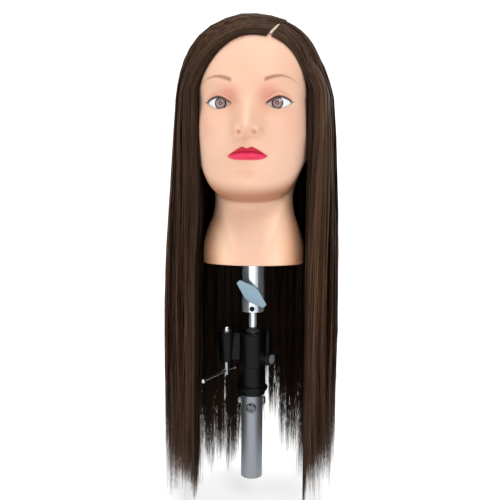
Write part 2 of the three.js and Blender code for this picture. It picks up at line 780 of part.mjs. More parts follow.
// ---------------------------------------------------------------- hair
// Outline of the whole head of hair: [height above the neck's underside, half width, reach to
// the front, reach to the back]
const HAIR_OUTLINE = [
  [HAIR_TIP_Z - NECK_Z, 97, 55, 106],
  [-60, 98, 58, 108],
  [23, 96, 62, 110],
  [80, 94, 74, 112],
  [120, 92, 84, 113],
  [162, 91, 90, 114],
  [190, 88, 95, 114],
  [204, 86, 98, 112],
  [218, 83, 98, 109],
  [231, 78.5, 96, 104],
  [245, 72.5, 88, 96],
  [259, 63, 75, 84],
  [273, 46, 52, 60],
  [281, 26, 30, 34],
];
function hairOutline() {
  const rings = HAIR_OUTLINE.map(([h, across, front, back]) =>
    evenSteps(-165, 180, 23).map((degrees) => {
      const a = THREE.MathUtils.degToRad(degrees);
      const reach = Math.cos(a) > 0 ? front : back;
      return [across * Math.sin(a), -reach * Math.cos(a), NECK_Z + h];
    }),
  );
  return skinned(rings);
}

// The face shows through an arch, and under the chin the hair keeps clear of neck and stand.
function faceArch() {
  const [right, left, low, shoulder] = [-53, 62, -300, 190];
  const outline = new THREE.Shape();
  outline.moveTo(right, low);
  outline.lineTo(left, low);
  outline.lineTo(left, shoulder);
  outline.absellipse((left + right) / 2, shoulder, (left - right) / 2, 44, 0, Math.PI);
  outline.closePath();
  const prism = extruded(outline, 140, 10);
  return meshToSolid(solidToGeometry(prism).rotateX(Math.PI / 2).translate(0, 0, NECK_Z));
}
function roomForStand() {
  const outline = new THREE.Shape();
  outline.moveTo(-62, -120);
  outline.lineTo(62, -120);
  outline.lineTo(62, 12);
  outline.absellipse(0, 12, 62, 68, 0, Math.PI);
  outline.closePath();
  return moved(extruded(outline, NECK_Z + 74 + 40, 12), 0, 0, -40);
}
const hairMass = hairOutline()
  .subtract(faceArch())
  .subtract(roomForStand())
  .subtract(
    headSkin({
      offset: HAIR_CLEAR,
      features: true,
      alongSteps: fineAlong,
      angles: fineAngles,
      base: -1,
    }),
  );

// A prism across the whole width, round at the top, that a hanging section turns inside.
function swingRoom({ y, z, radius }, [front, back], grow) {
  const low = HAIR_TIP_Z - 20 - z;
  const reach = radius + grow;
  const half = box([-150, 150], [y - reach - 60, y + reach + 60], [low + z, z]);
  const round = aimed(ring(0, reach, 0, 300, 36), [1, 0, 0], [-150, y, z]);
  return round.add(half).intersect(box([-150, 150], [front - grow, back + grow], [-60, 600]));
}
const WIDE = 150;
const SIDE_BACK = 45;
const BACK_FRONT = 50;
const sideRegion = (s) => box(s < 0 ? [-WIDE, 0] : [0, WIDE], [-WIDE, SIDE_BACK], [-60, 600]);
const backRegion = box([-WIDE, WIDE], [BACK_FRONT, WIDE], [-60, 600]);
const TOP_Z = NECK_Z + 186;
const crown = hairMass.intersect(box([-WIDE, WIDE], [-WIDE, WIDE], [TOP_Z + GAP, 600]));
const curtains = hairMass.intersect(box([-WIDE, WIDE], [-WIDE, WIDE], [-60, TOP_Z]));
const largest = (solid) =>
  solid.decompose().reduce((a, b) => (b.volume() > a.volume() ? b : a));

add(
  "hair_top_right",
  largest(crown.intersect(box([-WIDE, PARTING_X - GAP], [-WIDE, WIDE], [0, 600]))),
  HAIR,
);
add(
  "hair_top_left",
  largest(crown.intersect(box([PARTING_X + GAP, WIDE], [-WIDE, WIDE], [0, 600]))),
  HAIR,
);
const sideSwing = (grow) => swingRoom(SIDE_PIVOT, [-WIDE, SIDE_BACK], grow);
const backSwing = (grow) => swingRoom(BACK_PIVOT, [BACK_FRONT, WIDE], grow);
["right", "left"].forEach((name, i) => {
  const side = curtains.intersect(sideRegion(i ? 1 : -1));
  add("hair_side_" + name, largest(side.subtract(sideSwing(0.5))), HAIR);
  add("hair_fall_" + name, largest(side.intersect(sideSwing(0))), HAIR);
});
const rear = curtains.intersect(backRegion);
add("hair_back", largest(rear.subtract(backSwing(0.5))), HAIR);
add("hair_fall_back", largest(rear.intersect(backSwing(0))), HAIR);

export default model;
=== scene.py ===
"""The looks of a hairdresser's training head on its stand top. Metres, row frame."""

import json
import math

import bpy
import numpy as np
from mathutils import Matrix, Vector


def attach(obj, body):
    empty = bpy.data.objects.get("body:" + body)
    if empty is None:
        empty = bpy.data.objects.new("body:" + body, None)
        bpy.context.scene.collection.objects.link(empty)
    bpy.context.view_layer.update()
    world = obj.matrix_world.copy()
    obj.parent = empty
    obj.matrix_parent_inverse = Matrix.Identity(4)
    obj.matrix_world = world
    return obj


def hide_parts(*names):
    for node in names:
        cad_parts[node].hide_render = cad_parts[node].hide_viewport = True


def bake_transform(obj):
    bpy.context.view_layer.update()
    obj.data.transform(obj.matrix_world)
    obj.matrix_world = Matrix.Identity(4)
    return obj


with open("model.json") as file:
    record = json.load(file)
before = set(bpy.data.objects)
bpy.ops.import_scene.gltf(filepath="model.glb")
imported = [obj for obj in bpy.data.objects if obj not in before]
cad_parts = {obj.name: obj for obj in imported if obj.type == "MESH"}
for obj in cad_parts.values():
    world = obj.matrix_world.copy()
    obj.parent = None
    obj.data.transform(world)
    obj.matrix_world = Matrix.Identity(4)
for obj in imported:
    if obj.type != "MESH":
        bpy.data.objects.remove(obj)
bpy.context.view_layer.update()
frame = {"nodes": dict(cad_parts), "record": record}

MM = 0.001
NECK_Z = 253.0  # underside of the neck; heights h below are measured up from it


# ---------------- small helpers
def bump(value, centre, spread):
    """A bell that is 1 at its centre and has faded to about a third at its spread."""
    return np.exp(-(((value - centre) / spread) ** 2))


def smooth(value, low=0.0, high=1.0):
    """From 0 at low to 1 at high, level at both ends."""
    t = np.clip((value - low) / (high - low), 0, 1)
    return t * t * (3 - 2 * t)


def mix(a, b, t):
    return a + (b - a) * t


def make_mesh(name, points_mm, faces, uv=None, values=None):
    """A mesh object from points in mm, faces of equal size, uv per point and named values per point."""
    mesh = bpy.data.meshes.new(name)
    points = np.asarray(points_mm, np.float64).reshape(-1, 3) * MM
    faces = np.asarray(faces, np.int64)
    corners = faces.shape[1]
    mesh.vertices.add(len(points))
    mesh.vertices.foreach_set("co", points.astype(np.float32).ravel())
    mesh.loops.add(faces.size)
    mesh.loops.foreach_set("vertex_index", faces.astype(np.int32).ravel())
    mesh.polygons.add(len(faces))
    mesh.polygons.foreach_set("loop_start", np.arange(0, faces.size, corners, dtype=np.int32))
    mesh.update(calc_edges=True)
    mesh.polygons.foreach_set("use_smooth", np.full(len(faces), True))
    if uv is not None:
        layer = mesh.uv_layers.new(name="OFBake")
        layer.data.foreach_set("uv", uv[faces.ravel()].astype(np.float32).ravel())
    for key, data in (values or {}).items():
        attribute = mesh.attributes.new(key, "FLOAT", "POINT")
        attribute.data.foreach_set("value", np.asarray(data, np.float32).ravel())
    mesh.validate()
    obj = bpy.data.objects.new(name, mesh)
    bpy.context.scene.collection.objects.link(obj)
    return obj


def grid_faces(rows, columns, wrap):
    """Quads over a grid of points stored row by row."""
    i, j = np.meshgrid(np.arange(rows - 1), np.arange(columns if wrap else columns - 1), indexing="ij")
    k = (j + 1) % columns
    quads = [i * columns + j, i * columns + k, (i + 1) * columns + k, (i + 1) * columns + j]
    return np.stack(quads, -1).reshape(-1, 4)


# ---------------- materials
class Surface:
    """A node material, with short ways to add nodes to it."""

    def __init__(self, name):
        self.material = bpy.data.materials.new(name)
        self.material.use_nodes = True
        self.tree = self.material.node_tree
        self.tree.nodes.clear()
        self.out = self.add("ShaderNodeOutputMaterial")
        self.shader = self.add("ShaderNodeBsdfPrincipled")
        self.link(self.shader.outputs[0], self.out.inputs["Surface"])

    def link(self, a, b):
        self.tree.links.new(a, b)

    def add(self, kind, inputs=None, **settings):
        made = self.tree.nodes.new(kind)
        for key, value in settings.items():
            setattr(made, key, value)
        for key, value in (inputs or {}).items():
            if isinstance(value, bpy.types.NodeSocket):
                self.link(value, made.inputs[key])
            else:
                made.inputs[key].default_value = value
        return made

    def set(self, **values):
        for key, value in values.items():
            socket = self.shader.inputs[key.replace("_", " ")]
            if isinstance(value, bpy.types.NodeSocket):
                self.link(value, socket)
            else:
                socket.default_value = value

    def place(self):
        return self.add("ShaderNodeTexCoord").outputs["Object"]

    def value(self, name):
        return self.add("ShaderNodeAttribute", attribute_name=name).outputs["Fac"]

    def stretch(self, vector, scale):
        return self.add("ShaderNodeMapping", {"Vector": vector, "Scale": scale}).outputs[0]

    def noise(self, vector, scale, detail=3.0, rough=0.5):
        inputs = {"Vector": vector, "Scale": scale, "Detail": detail, "Roughness": rough}
        return self.add("ShaderNodeTexNoise", inputs).outputs["Fac"]

    def maths(self, operation, a, b=0.0):
        return self.add("ShaderNodeMath", {0: a, 1: b}, operation=operation).outputs[0]

    def product(self, a, b):
        return self.maths("MULTIPLY", a, b)

    def fit(self, value, from_low, from_high, to_low=0.0, to_high=1.0):
        made = self.add("ShaderNodeMapRange", {"Value": value})
        numbers = (from_low, from_high, to_low, to_high)
        for socket, number in zip(("From Min", "From Max", "To Min", "To Max"), numbers):
            made.inputs[socket].default_value = number
        return made.outputs[0]

    def blend(self, amount, first, second, how="MIX"):
        made = self.add("ShaderNodeMix", data_type="RGBA", blend_type=how)
        for index, value in ((0, amount), (6, first), (7, second)):
            if isinstance(value, bpy.types.NodeSocket):
                self.link(value, made.inputs[index])
            else:
                made.inputs[index].default_value = value if index == 0 else (*value, 1.0)
        return made.outputs[2]

    def ramp(self, value, stops):
        made = self.add("ShaderNodeValToRGB", {"Fac": value})
        elements = made.color_ramp.elements
        while len(elements) < len(stops):
            elements.new(0.5)
        for element, (at, colour) in zip(elements, stops):
            element.position = at
            element.color = (*colour, 1.0)
        return made.outputs[0]

    def relief(self, height, distance, strength=1.0, normal=None):
        inputs = {"Height": height, "Distance": distance, "Strength": strength}
        if normal is not None:
            inputs["Normal"] = normal
        return self.add("ShaderNodeBump", inputs).outputs[0]

    def rounded(self, radius):
        return self.add("ShaderNodeBevel", {"Radius": radius}, samples=6).outputs[0]


def worked_surface(
    name, colour, metallic, roughness, grain, depth, mottling,
    edge=0.0004, stretch=(1, 1, 1), shine=0.5, uneven=0.2,
):
    """A metal, paint or moulding: a base colour with slight mottling, uneven gloss and a fine grain.
    depth is the grain's and edge the radius of a worn edge, both in metres."""
    s = Surface(name)
    where = s.stretch(s.place(), stretch)
    patches = s.noise(where, 60.0, 4.0)
    grains = s.noise(where, grain, 3.0, 0.6)
    darker = tuple(c * (1 - mottling) for c in colour)
    gloss = s.noise(where, 180.0, 4.0)
    s.set(
        Base_Color=s.blend(patches, darker, colour),
        Metallic=metallic,
        Specular_IOR_Level=shine,
        Roughness=s.fit(gloss, 0.3, 0.7, roughness * (1 - uneven), roughness * (1 + uneven)),
        Normal=s.relief(grains, depth, 1.0, s.rounded(edge)),
    )
    return s.material


# ---------------- the head's plain surface
# Each station is a line round the head: [distance from the axis, height h] every 30 degrees from
# the front to the back, as in the CAD source.
STATIONS = np.array([
    [[50, 0], [51, 0], [55, 0], [58, 0], [56, 0], [52, 0], [50, 0]],
    [[49, 18], [50.5, 18], [55, 18], [58.5, 18], [56, 18], [51, 18], [49, 18]],
    [[44.5, 38], [46, 38], [50.5, 38], [53.5, 38], [52, 38], [48.5, 38], [47, 38]],
    [[41, 55], [42.5, 55], [45, 56], [46.3, 58], [47.5, 60], [47.5, 60], [47, 58]],
    [[43, 65], [43.5, 67], [44, 73], [44.8, 79], [48.5, 79], [50.5, 77], [50.5, 74]],
    [[62, 70], [58, 73], [50.5, 85], [49.5, 96], [54.5, 96], [58, 92], [58, 88]],
    [[80, 74], [72, 80.5], [59, 98], [56, 111], [61, 110], [67, 104], [68, 100]],
    [[89, 84], [79.5, 91.5], [65, 109], [61, 124], [67, 122], [77, 116], [79, 112]],
    [[88, 98], [82, 102], [69, 117], [64, 135], [72, 135], [85, 129], [88, 125]],
    [[89.5, 113], [84, 117], [71.5, 131], [66.5, 149], [76, 149], [91, 144], [95, 140]],
    [[90.5, 129], [85.5, 133], [73.5, 146], [68.5, 163], [79, 164], [95, 160], [99, 157]],
    [[89.5, 148], [85.5, 151], [74, 162], [70, 177], [81.5, 179], [98, 177], [102, 175]],
    [[88, 169], [84.5, 170], [74, 178], [71.5, 191], [83.5, 194], [99, 194], [103, 194]],
    [[91, 190], [87.5, 190], [76.5, 195], [73, 206], [83, 209], [97, 210], [101.5, 211]],
    [[90.5, 209], [87.5, 209], [78, 211], [72.5, 219], [80, 223], [91, 225], [95, 227]],
    [[83.5, 231], [81.5, 230], [74.5, 229], [68.5, 233], [73.5, 238], [81, 240], [85, 242]],
    [[66, 251], [65, 250], [61, 249], [57, 249], [60, 253], [65, 255], [68, 256]],
    [[38, 265], [38, 265], [37, 264.5], [37, 264], [39, 266], [41.5, 267], [43, 267.5]],
    [[0, 271], [0, 271], [0, 271], [0, 271], [0, 271], [0, 271], [0, 271]],
])
LAST = len(STATIONS) - 1
JAW = 4.6  # the station, counted along the head, at which the neck ends and the jaw begins


def catmull(a, b, c, d, t):
    """A smooth curve from b to c, with a and d as its neighbours."""
    return 0.5 * (2 * b + t * (c - a + t * (2 * a - 5 * b + 4 * c - d + t * (3 * b - a - 3 * c + d))))


def around(k, angle):
    """Radius and height of station k (an array) at an angle from the front."""
    at = np.abs(angle) / (math.pi / 6)
    i = np.minimum(np.floor(at).astype(int), 5)
    t = (at - i)[..., None]

    def column(c):
        c = np.abs(c)
        return STATIONS[k, np.where(c > 6, 12 - c, c)]

    return catmull(column(i - 1), column(i), column(i + 1), column(i + 2), t)


def plain_head(along, angle):
    """Radius and height on the head without its features."""
    i = np.minimum(np.floor(along).astype(int), LAST - 1)
    t = (along - i)[..., None]
    rows = [around(np.clip(i + step, 0, LAST), angle) for step in (-1, 0, 1, 2)]
    both = catmull(*rows, t)
    return np.maximum(both[..., 0], 0), both[..., 1]


# ---------------- the face
# Each bump below has its height, then its middle and spread across the face and up it, in mm.
EYE = {"x": 30.0, "y": -64.5, "h": 168.5, "r": 12.0}
LIDS_X = 30.7  # middle of the opening between the lids
LIDS_HALF = 13.0
LIDS_TILT = 0.09  # rise of the lids towards the temples
MOUTH_HALF = 20.0
MOUTH_H = 114.4  # height of the corners of the mouth
BOW_X = 4.6  # the peaks of the upper lip


def lid_edges(side):
    """Heights of the upper and lower lid edges, at a distance across from the middle of the face."""
    u = side - LIDS_X
    reach = np.clip(np.abs(u) / LIDS_HALF, 0, 1)
    tilt = LIDS_TILT * u
    upper = EYE["h"] + 5.4 * (1 - reach**1.7) + tilt
    lower = EYE["h"] - 5.3 * (1 - reach**1.8) + tilt
    return upper, lower


def inside_lids(side, h):
    """How far inside the opening of the eye, in mm; negative outside it."""
    upper, lower = lid_edges(side)
    return np.minimum(np.minimum(upper - h, h - lower), (LIDS_HALF - np.abs(side - LIDS_X)) * 0.6)


def lip_edges(side):
    """Heights of the upper edge, the line between the lips, and the lower edge."""
    reach = np.clip(side / MOUTH_HALF, 0, 1)
    outer = np.clip((side - BOW_X) / (MOUTH_HALF - BOW_X), 0, 1)
    bow = 121.2 + 1.6 * smooth(side, 0, BOW_X)
    upper = np.where(side < BOW_X, bow, mix(122.8, MOUTH_H, outer**1.25))
    line = MOUTH_H + 3.2 * (1 - reach**1.7) - 0.4 * bump(side, 0, 3)
    lower = MOUTH_H - 4.9 * np.sqrt(np.maximum(1 - reach**3.2, 0))
    return upper, line, lower


def nose(side, h):
    """How far the nose stands out, from below its tip up to the bridge."""
    ridge_h = [131.5, 134.5, 138, 141.5, 149, 159, 169, 177, 185]
    ridge = np.interp(h, ridge_h, [0, 8, 16.5, 18.5, 14.5, 9.8, 5.4, 2.6, 0.4])
    width = np.interp(h, [131, 140, 150, 165, 185], [9.4, 9.4, 9.0, 8.6, 10.5])
    tip = 1.5 * bump(side, 0, 5.5) * bump(h, 140.5, 4.8)
    wings = 8.0 * bump(side, 11.2, 4.2) * bump(h, 138.2, 4.6)
    flank = 3.2 * bump(side, 11, 9) * bump(h, 150, 14)
    nostrils = -2.8 * bump(side, 7.6, 2.4) * bump(h, 136.4, 1.7)
    crease = -1.0 * bump(side, 16.4, 2.2) * bump(h, 139, 5)
    return ridge * np.exp(-((side / width) ** 2)) + tip + wings + flank + nostrils + crease


def lips(side, h):
    """How far the lips stand out, with the groove between them."""
    upper, line, lower = lip_edges(side)
    fade = np.sqrt(np.clip(1 - (side / (MOUTH_HALF + 0.5)) ** 2, 0, 1))
    t_up = np.clip((h - line) / np.maximum(upper - line, 0.5), 0, 1.6)
    t_low = np.clip((line - h) / np.maximum(line - lower, 0.5), 0, 1.6)
    full_up = 3.4 * np.where(h >= line, np.exp(-(((t_up - 0.35) / 0.55) ** 2)), 0)
    full_low = 4.4 * np.where(h < line, np.exp(-(((t_low - 0.42) / 0.50) ** 2)), 0)
    groove = -1.3 * np.exp(-(((h - line) / 0.9) ** 2)) * smooth(MOUTH_HALF + 2 - side, 0, 3)
    return fade * (full_up + full_low) + groove


def face_relief(x, h):
    """How far the features stand out from the plain head."""
    side = np.abs(x)
    muzzle = 2.4 * bump(side, 0, 23) * bump(h, 119, 15)
    brow = 3.2 * bump(side, 27, 17) * bump(h, 189.5, 8)
    bridge_hollow = -1.5 * bump(side, 0, 9) * bump(h, 176, 7)
    sockets = -7.0 * bump(side, 31, 15) * bump(h, 169, 10.5) - 2.2 * bump(side, 17, 6) * bump(h, 170, 8)
    cheeks = 3.2 * bump(side, 42, 15) * bump(h, 149, 14)
    fold = -0.6 * bump(side, 23.5 + (132 - h) * 0.25, 3.4) * bump(h, 129, 9)
    groove = -1.0 * bump(side, 0, 2.4) * bump(h, 127, 4.2) + 0.6 * bump(side, 4.8, 1.9) * bump(h, 126.5, 4.2)
    corners = -1.6 * bump(side, 22.5, 3.2) * bump(h, 115.5, 3.5)
    chin = 4.6 * bump(side, 0, 15) * bump(h, 87, 10) - 2.6 * bump(side, 0, 15) * bump(h, 102, 4.6)
    temples = -1.5 * bump(side, 62, 12) * bump(h, 190, 16)
    everything = muzzle + brow + bridge_hollow + sockets + cheeks + fold + groove + corners + chin + temples
    return everything + nose(side, h) + lips(side, h)


def neck_relief(x, h):
    """Two faint tendons that meet towards the bottom of the neck, and a soft fold across it."""
    side = np.abs(x)
    lean = mix(11, 40, np.clip(h / 75, 0, 1))
    tendons = 1.7 * bump(side, lean, 5.5) * smooth(h, 2, 22) * smooth(84 - h, 0, 20)
    hollow = -1.3 * bump(side, 0, 9) * bump(h, 14, 12)
    return tendons + hollow - 0.6 * bump(h, 26 + 0.1 * x, 2.6) * bump(x, 22, 16)


def soften_max(a, b, width):
    """The larger of two, rounded where they cross."""
    t = np.clip(0.5 + 0.5 * (a - b) / width, 0, 1)
    return mix(b, a, t) + width * t * (1 - t)


def with_eyes(forward, side, h, ahead):
    """The lids bulge over each eyeball, with a crease above and the opening between them."""
    apart = (side - EYE["x"]) ** 2 + (h - EYE["h"]) ** 2
    ball = np.sqrt(np.maximum((EYE["r"] + 1.5) ** 2 - apart, 0))
    lidded = soften_max(forward, -EYE["y"] + ball - 0.2, 2.0)
    forward = np.where(ahead & (apart < (EYE["r"] + 1.3) ** 2), lidded, forward)
    upper, _ = lid_edges(side)
    near = smooth(LIDS_HALF + 3 - np.abs(side - LIDS_X), 0, 4) * ahead
    crease = upper + 4.8 - 0.9 * (np.abs(side - LIDS_X) / LIDS_HALF) ** 2
    forward = forward - 1.2 * near * np.exp(-(((h - crease) / 0.9) ** 2))
    forward = forward + 0.5 * near * np.exp(-(((h - upper - 1.0) / 1.0) ** 2))
    opening = smooth(inside_lids(side, h), -0.25, 0.45) * ahead
    floor = -EYE["y"] + np.sqrt(np.maximum((EYE["r"] - 1.6) ** 2 - apart, 0))
    return mix(forward, np.minimum(forward, floor), opening)


def head_surface(along, angle):
    """Points on the head, in mm, with heights above the neck's underside."""
    radius, h = plain_head(along, angle)
    x = radius * np.sin(angle)
    y = -radius * np.cos(angle)
    front = np.sqrt(np.maximum(np.cos(angle), 0))
    forward = -y + front * np.where(along > JAW, face_relief(x, h), neck_relief(x, h))
    return x, -with_eyes(forward, np.abs(x), h, y < 0), h


def eye_paint(side, h):
    """The dark line round the eye, and the shadow above it and beside the nose."""
    top, low = lid_edges(side)
    u = (side - LIDS_X) / LIDS_HALF
    along_lid = smooth(1.10 - np.abs(u), 0, 0.2)
    thick = mix(0.9, 1.6, smooth(u, -1, 0.6))
    liner = along_lid * np.exp(-(((h - top - 0.8) / thick) ** 4))
    wing = 0.8 * bump(side, LIDS_X + LIDS_HALF + 0.6, 1.8) * np.exp(-(((h - top - 0.8) / 0.8) ** 2))
    lower_liner = 0.5 * along_lid * np.exp(-(((h - low + 0.35) / 0.6) ** 2))
    above = smooth(h, top - 1, top + 1.5)
    inner_corner = 1.15 * bump(side, 20.5, 9.5) * bump(h, 177, 6.5)
    over_lid = smooth(LIDS_HALF + 4 - np.abs(side - LIDS_X), 0, 8) * smooth(top + 9 - h, 0, 8)
    lid_band = 0.75 * over_lid * above
    beside_nose = 0.45 * bump(side, 16.5, 4.5) * bump(h, 167, 9)
    shadow = np.maximum(inner_corner * np.maximum(above, side < 18), lid_band) + beside_nose
    return np.clip(np.maximum(liner, wing) + lower_liner, 0, 1), np.clip(shadow, 0, 1)


def brow_paint(side, h):
    across = [15, 18, 26, 34, 42, 52]
    line = np.interp(side, across, [188.4, 189.5, 192.4, 194.0, 192.9, 187.2])
    half = np.interp(side, across, [1.4, 2.2, 2.0, 1.4, 0.9, 0.5])
    strength = np.interp(side, [15, 30, 42, 50, 54], [1.0, 0.95, 0.6, 0.35, 0])
    return smooth(side, 15.0, 18.5) * strength * np.exp(-np.abs((h - line) / half) ** 3)


def face_masks(x, y, h, along):
    """Painted areas of the head, each from 0 to 1 at every point."""
    side = np.abs(x)
    front = smooth(-y, 20, 45)
    upper, line, lower = lip_edges(side)
    inside_lips = np.minimum(np.minimum(upper - h, h - lower), (MOUTH_HALF + 0.4 - side) * 0.8)
    # painted shade along the crease between the lips
    painted_lip_line_shade = 0.22 * np.exp(-(((h - line) / 0.55) ** 2)) * smooth(MOUTH_HALF + 1 - side, 0, 2)
    liner, shadow = eye_paint(side, h)
    on_neck = smooth(JAW - along, 0, 0.8)
    painted_chin_shade = smooth(along, 4.2, 4.8) * smooth(7.3 - along, 0, 1.5)
    return {
        "lip": smooth(inside_lips, -0.35, 0.35) * front,
        # shaded_upper_lip marks the upper lip, painted darker as painted shade because it faces down
        "shaded_upper_lip": smooth(h - line, -0.8, 0.8),
        "liner": liner * front,
        "shadow": shadow * front,
        "brow": brow_paint(side, h) * front,
        "blush": bump(side, 46, 15) * bump(h, 146, 14) * front,
        # under: painted shade on the underside of the jaw, below the chin
        "under": painted_chin_shade * smooth(-y, 5, 35),
        # flank: painted shade beside the nose, stronger on the side away from the key lamp (x < 0)
        "flank": bump(side, 13.5, 6.5) * bump(h, 153, 17) * np.where(x < 0, 1.0, 0.45) * front,
        # beside: painted light, the sides of the neck made paler where the hair keeps the lamps off them
        "beside": smooth(side, 8, 34) * on_neck,
        # painted warm shade at the outer edges of the neck
        "painted_warm_edge_shade": smooth(side, 28, 50) * on_neck,
        "socket": smooth(inside_lids(side, h), 0.1, 0.6) * (y < 0),
        # dark: painted shade in the nostrils
        "dark": 0.62 * bump(side, 7.6, 2.0) * bump(h, 136.6, 1.4) * front,
        "painted_lip_line_shade": painted_lip_line_shade * front,
    }


def steps(*runs):
    """Even steps through [from, to, count] runs, joined end to end."""
    parts = [np.linspace(a, b, n, endpoint=False) for a, b, n in runs]
    return np.concatenate(parts + [[runs[-1][1]]])


def build_head():
    """The vinyl skin, finest over the face, with its rim turned in under the neck."""
    half = steps([0, 52, 92], [52, 80, 20], [80, 180, 26])
    degrees = np.concatenate([-half[1:-1][::-1], half])
    angle = np.radians(degrees)
    along = steps([0, 4.5, 22], [4.5, 6.6, 28], [6.6, 13.6, 190], [13.6, 17.9, 34])
    grid_along, grid_angle = np.meshgrid(along, angle, indexing="ij")
    x, y, h = head_surface(grid_along, grid_angle)
    outer = np.stack([x, y, h + NECK_Z], -1)
    rows, columns = x.shape
    masks = face_masks(x, y, h, grid_along)
    radius, base = plain_head(np.zeros_like(angle), angle)
    rim = []
    for inset, up in ((1.0, -0.5), (3.0, -0.6), (4.5, 0.4), (4.8, 3.0), (4.8, 30.0)):
        r = radius - inset
        rim.append(np.stack([r * np.sin(angle), -r * np.cos(angle), base + up + NECK_Z], -1))
    points = np.concatenate([np.array(rim[::-1]), outer])
    faces = grid_faces(len(points), columns, True)
    pad = len(rim)
    values = {}
    for key, mask in masks.items():
        values[key] = np.concatenate([np.zeros((pad, columns)), mask]).ravel()
    values["inner"] = np.concatenate([np.ones((pad, columns)), np.zeros((rows, columns))]).ravel()
    return make_mesh("head_skin", points.reshape(-1, 3), faces, values=values)


head = build_head()
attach(head, "head")
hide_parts("head_shell")


def skin_material():
    """Vinyl with the make-up painted on it, and painted shade and light on the neck, chin, nose, nostrils and
    lips, one mask after another.
    """
    s = Surface("painted_vinyl")
    where = s.place()
    broad = s.noise(where, 14.0, 3.0)
    fine = s.noise(where, 900.0, 2.0)
    skin = s.blend(s.fit(broad, 0.35, 0.65), (0.705, 0.430, 0.302), (0.745, 0.470, 0.345))
    skin = s.blend(s.product(s.value("blush"), 0.30), skin, (0.72, 0.33, 0.235))
    # painted light on the sides of the neck, paler where the hair shades them
    skin = s.blend(s.value("beside"), skin, (1.0, 0.65, 0.46))
    # painted warm shade at the outer edges of the neck
    skin = s.blend(s.value("painted_warm_edge_shade"), skin, (1.0, 0.50, 0.29))
    # painted shade under the chin
    skin = s.blend(s.value("under"), skin, (0.44, 0.195, 0.108))
    skin = s.blend(s.value("socket"), skin, (0.70, 0.66, 0.66))
    # painted shade beside the nose
    skin = s.blend(s.product(s.value("flank"), 0.42), skin, (0.62, 0.33, 0.19))
    skin = s.blend(s.product(s.value("shadow"), 0.60), skin, (0.66, 0.22, 0.165))
    hairs = s.noise(s.stretch(where, (500, 100, 1100)), 1.0, 2.0)
    brow = s.product(s.value("brow"), s.fit(hairs, 0.3, 0.6, 0.8, 1.0))
    skin = s.blend(s.product(brow, 0.86), skin, (0.27, 0.075, 0.038))
    streaks = s.noise(s.stretch(where, (800, 100, 90)), 1.0)
    lower_lip = s.blend(s.fit(streaks, 0.35, 0.65), (0.66, 0.014, 0.075), (0.70, 0.022, 0.095))
    # the upper lip: a darker copy of the lip colour, painted shade where it faces down
    shaded_upper_lip = s.blend(s.fit(streaks, 0.35, 0.65), (0.44, 0.003, 0.026), (0.48, 0.006, 0.036))
    lip_colour = s.blend(s.value("shaded_upper_lip"), lower_lip, shaded_upper_lip)
    skin = s.blend(s.value("lip"), skin, lip_colour)
    # painted shade along the crease between the lips
    skin = s.blend(s.value("painted_lip_line_shade"), skin, (0.16, 0.004, 0.02))
    skin = s.blend(s.value("liner"), skin, (0.022, 0.013, 0.013))
    # painted shade in the nostrils
    skin = s.blend(s.value("dark"), skin, (0.30, 0.09, 0.035))
    skin = s.blend(s.value("inner"), skin, (0.50, 0.35, 0.26))
    gloss = s.blend(s.value("lip"), (0.52, 0.52, 0.52), (0.34, 0.34, 0.34))
    s.set(
        Base_Color=skin,
        Roughness=gloss,
        Specular_IOR_Level=0.40,
        Normal=s.relief(fine, 0.00012, 0.5),
        Subsurface_Weight=0.25,
        Subsurface_Scale=0.006,
        Subsurface_Radius=(1.0, 0.45, 0.25),
    )
    return s.material


head.data.materials.append(skin_material())


# ---------------- eyes
IRIS_MM = (5.9, 6.3)  # the soft edge of the iris


def eye_material():
    """A white eye with a ringed iris and a painted glint in the middle, by distance from the object's own
    axis.
    """
    s = Surface("painted_eye")
    where = s.place()
    parts = s.add("ShaderNodeSeparateXYZ", {"Vector": where})
    across = s.product(parts.outputs[0], parts.outputs[0])
    height = s.product(parts.outputs[2], parts.outputs[2])
    distance = s.product(s.maths("SQRT", s.maths("ADD", across, height)), 1000.0)
    angle = s.maths("ARCTAN2", parts.outputs[0], parts.outputs[2])
    polar = {0: s.product(angle, 9.0), 1: s.product(distance, 0.35)}
    spokes = s.noise(s.add("ShaderNodeCombineXYZ", polar).outputs[0], 1.6, 3.0)
    iris = s.blend(s.fit(spokes, 0.35, 0.65), (0.16, 0.10, 0.10), (0.38, 0.27, 0.27))
    # glint: a painted highlight in the middle of the pupil, brighter than white
    glint, pupil, rim = (2.2, 2.2, 2.3), (0.10, 0.08, 0.09), (0.12, 0.09, 0.10)
    stops = [(0.0, glint), (0.05, glint), (0.08, pupil), (0.17, pupil)]
    stops += [(0.22, (1, 1, 1)), (0.44, (0.85, 0.85, 0.85)), (0.52, rim)]
    rings = s.ramp(s.fit(distance, 0, 10), stops)
    iris = s.blend(1.0, iris, rings, "MULTIPLY")
    white = s.blend(s.noise(where, 160.0), (0.72, 0.73, 0.76), (0.80, 0.81, 0.84))
    s.set(
        Base_Color=s.blend(s.fit(distance, *IRIS_MM), iris, white),
        Roughness=0.12,
        Specular_IOR_Level=0.35,
        Coat_Weight=0.3,
        Coat_Roughness=0.03,
    )
    return s.material


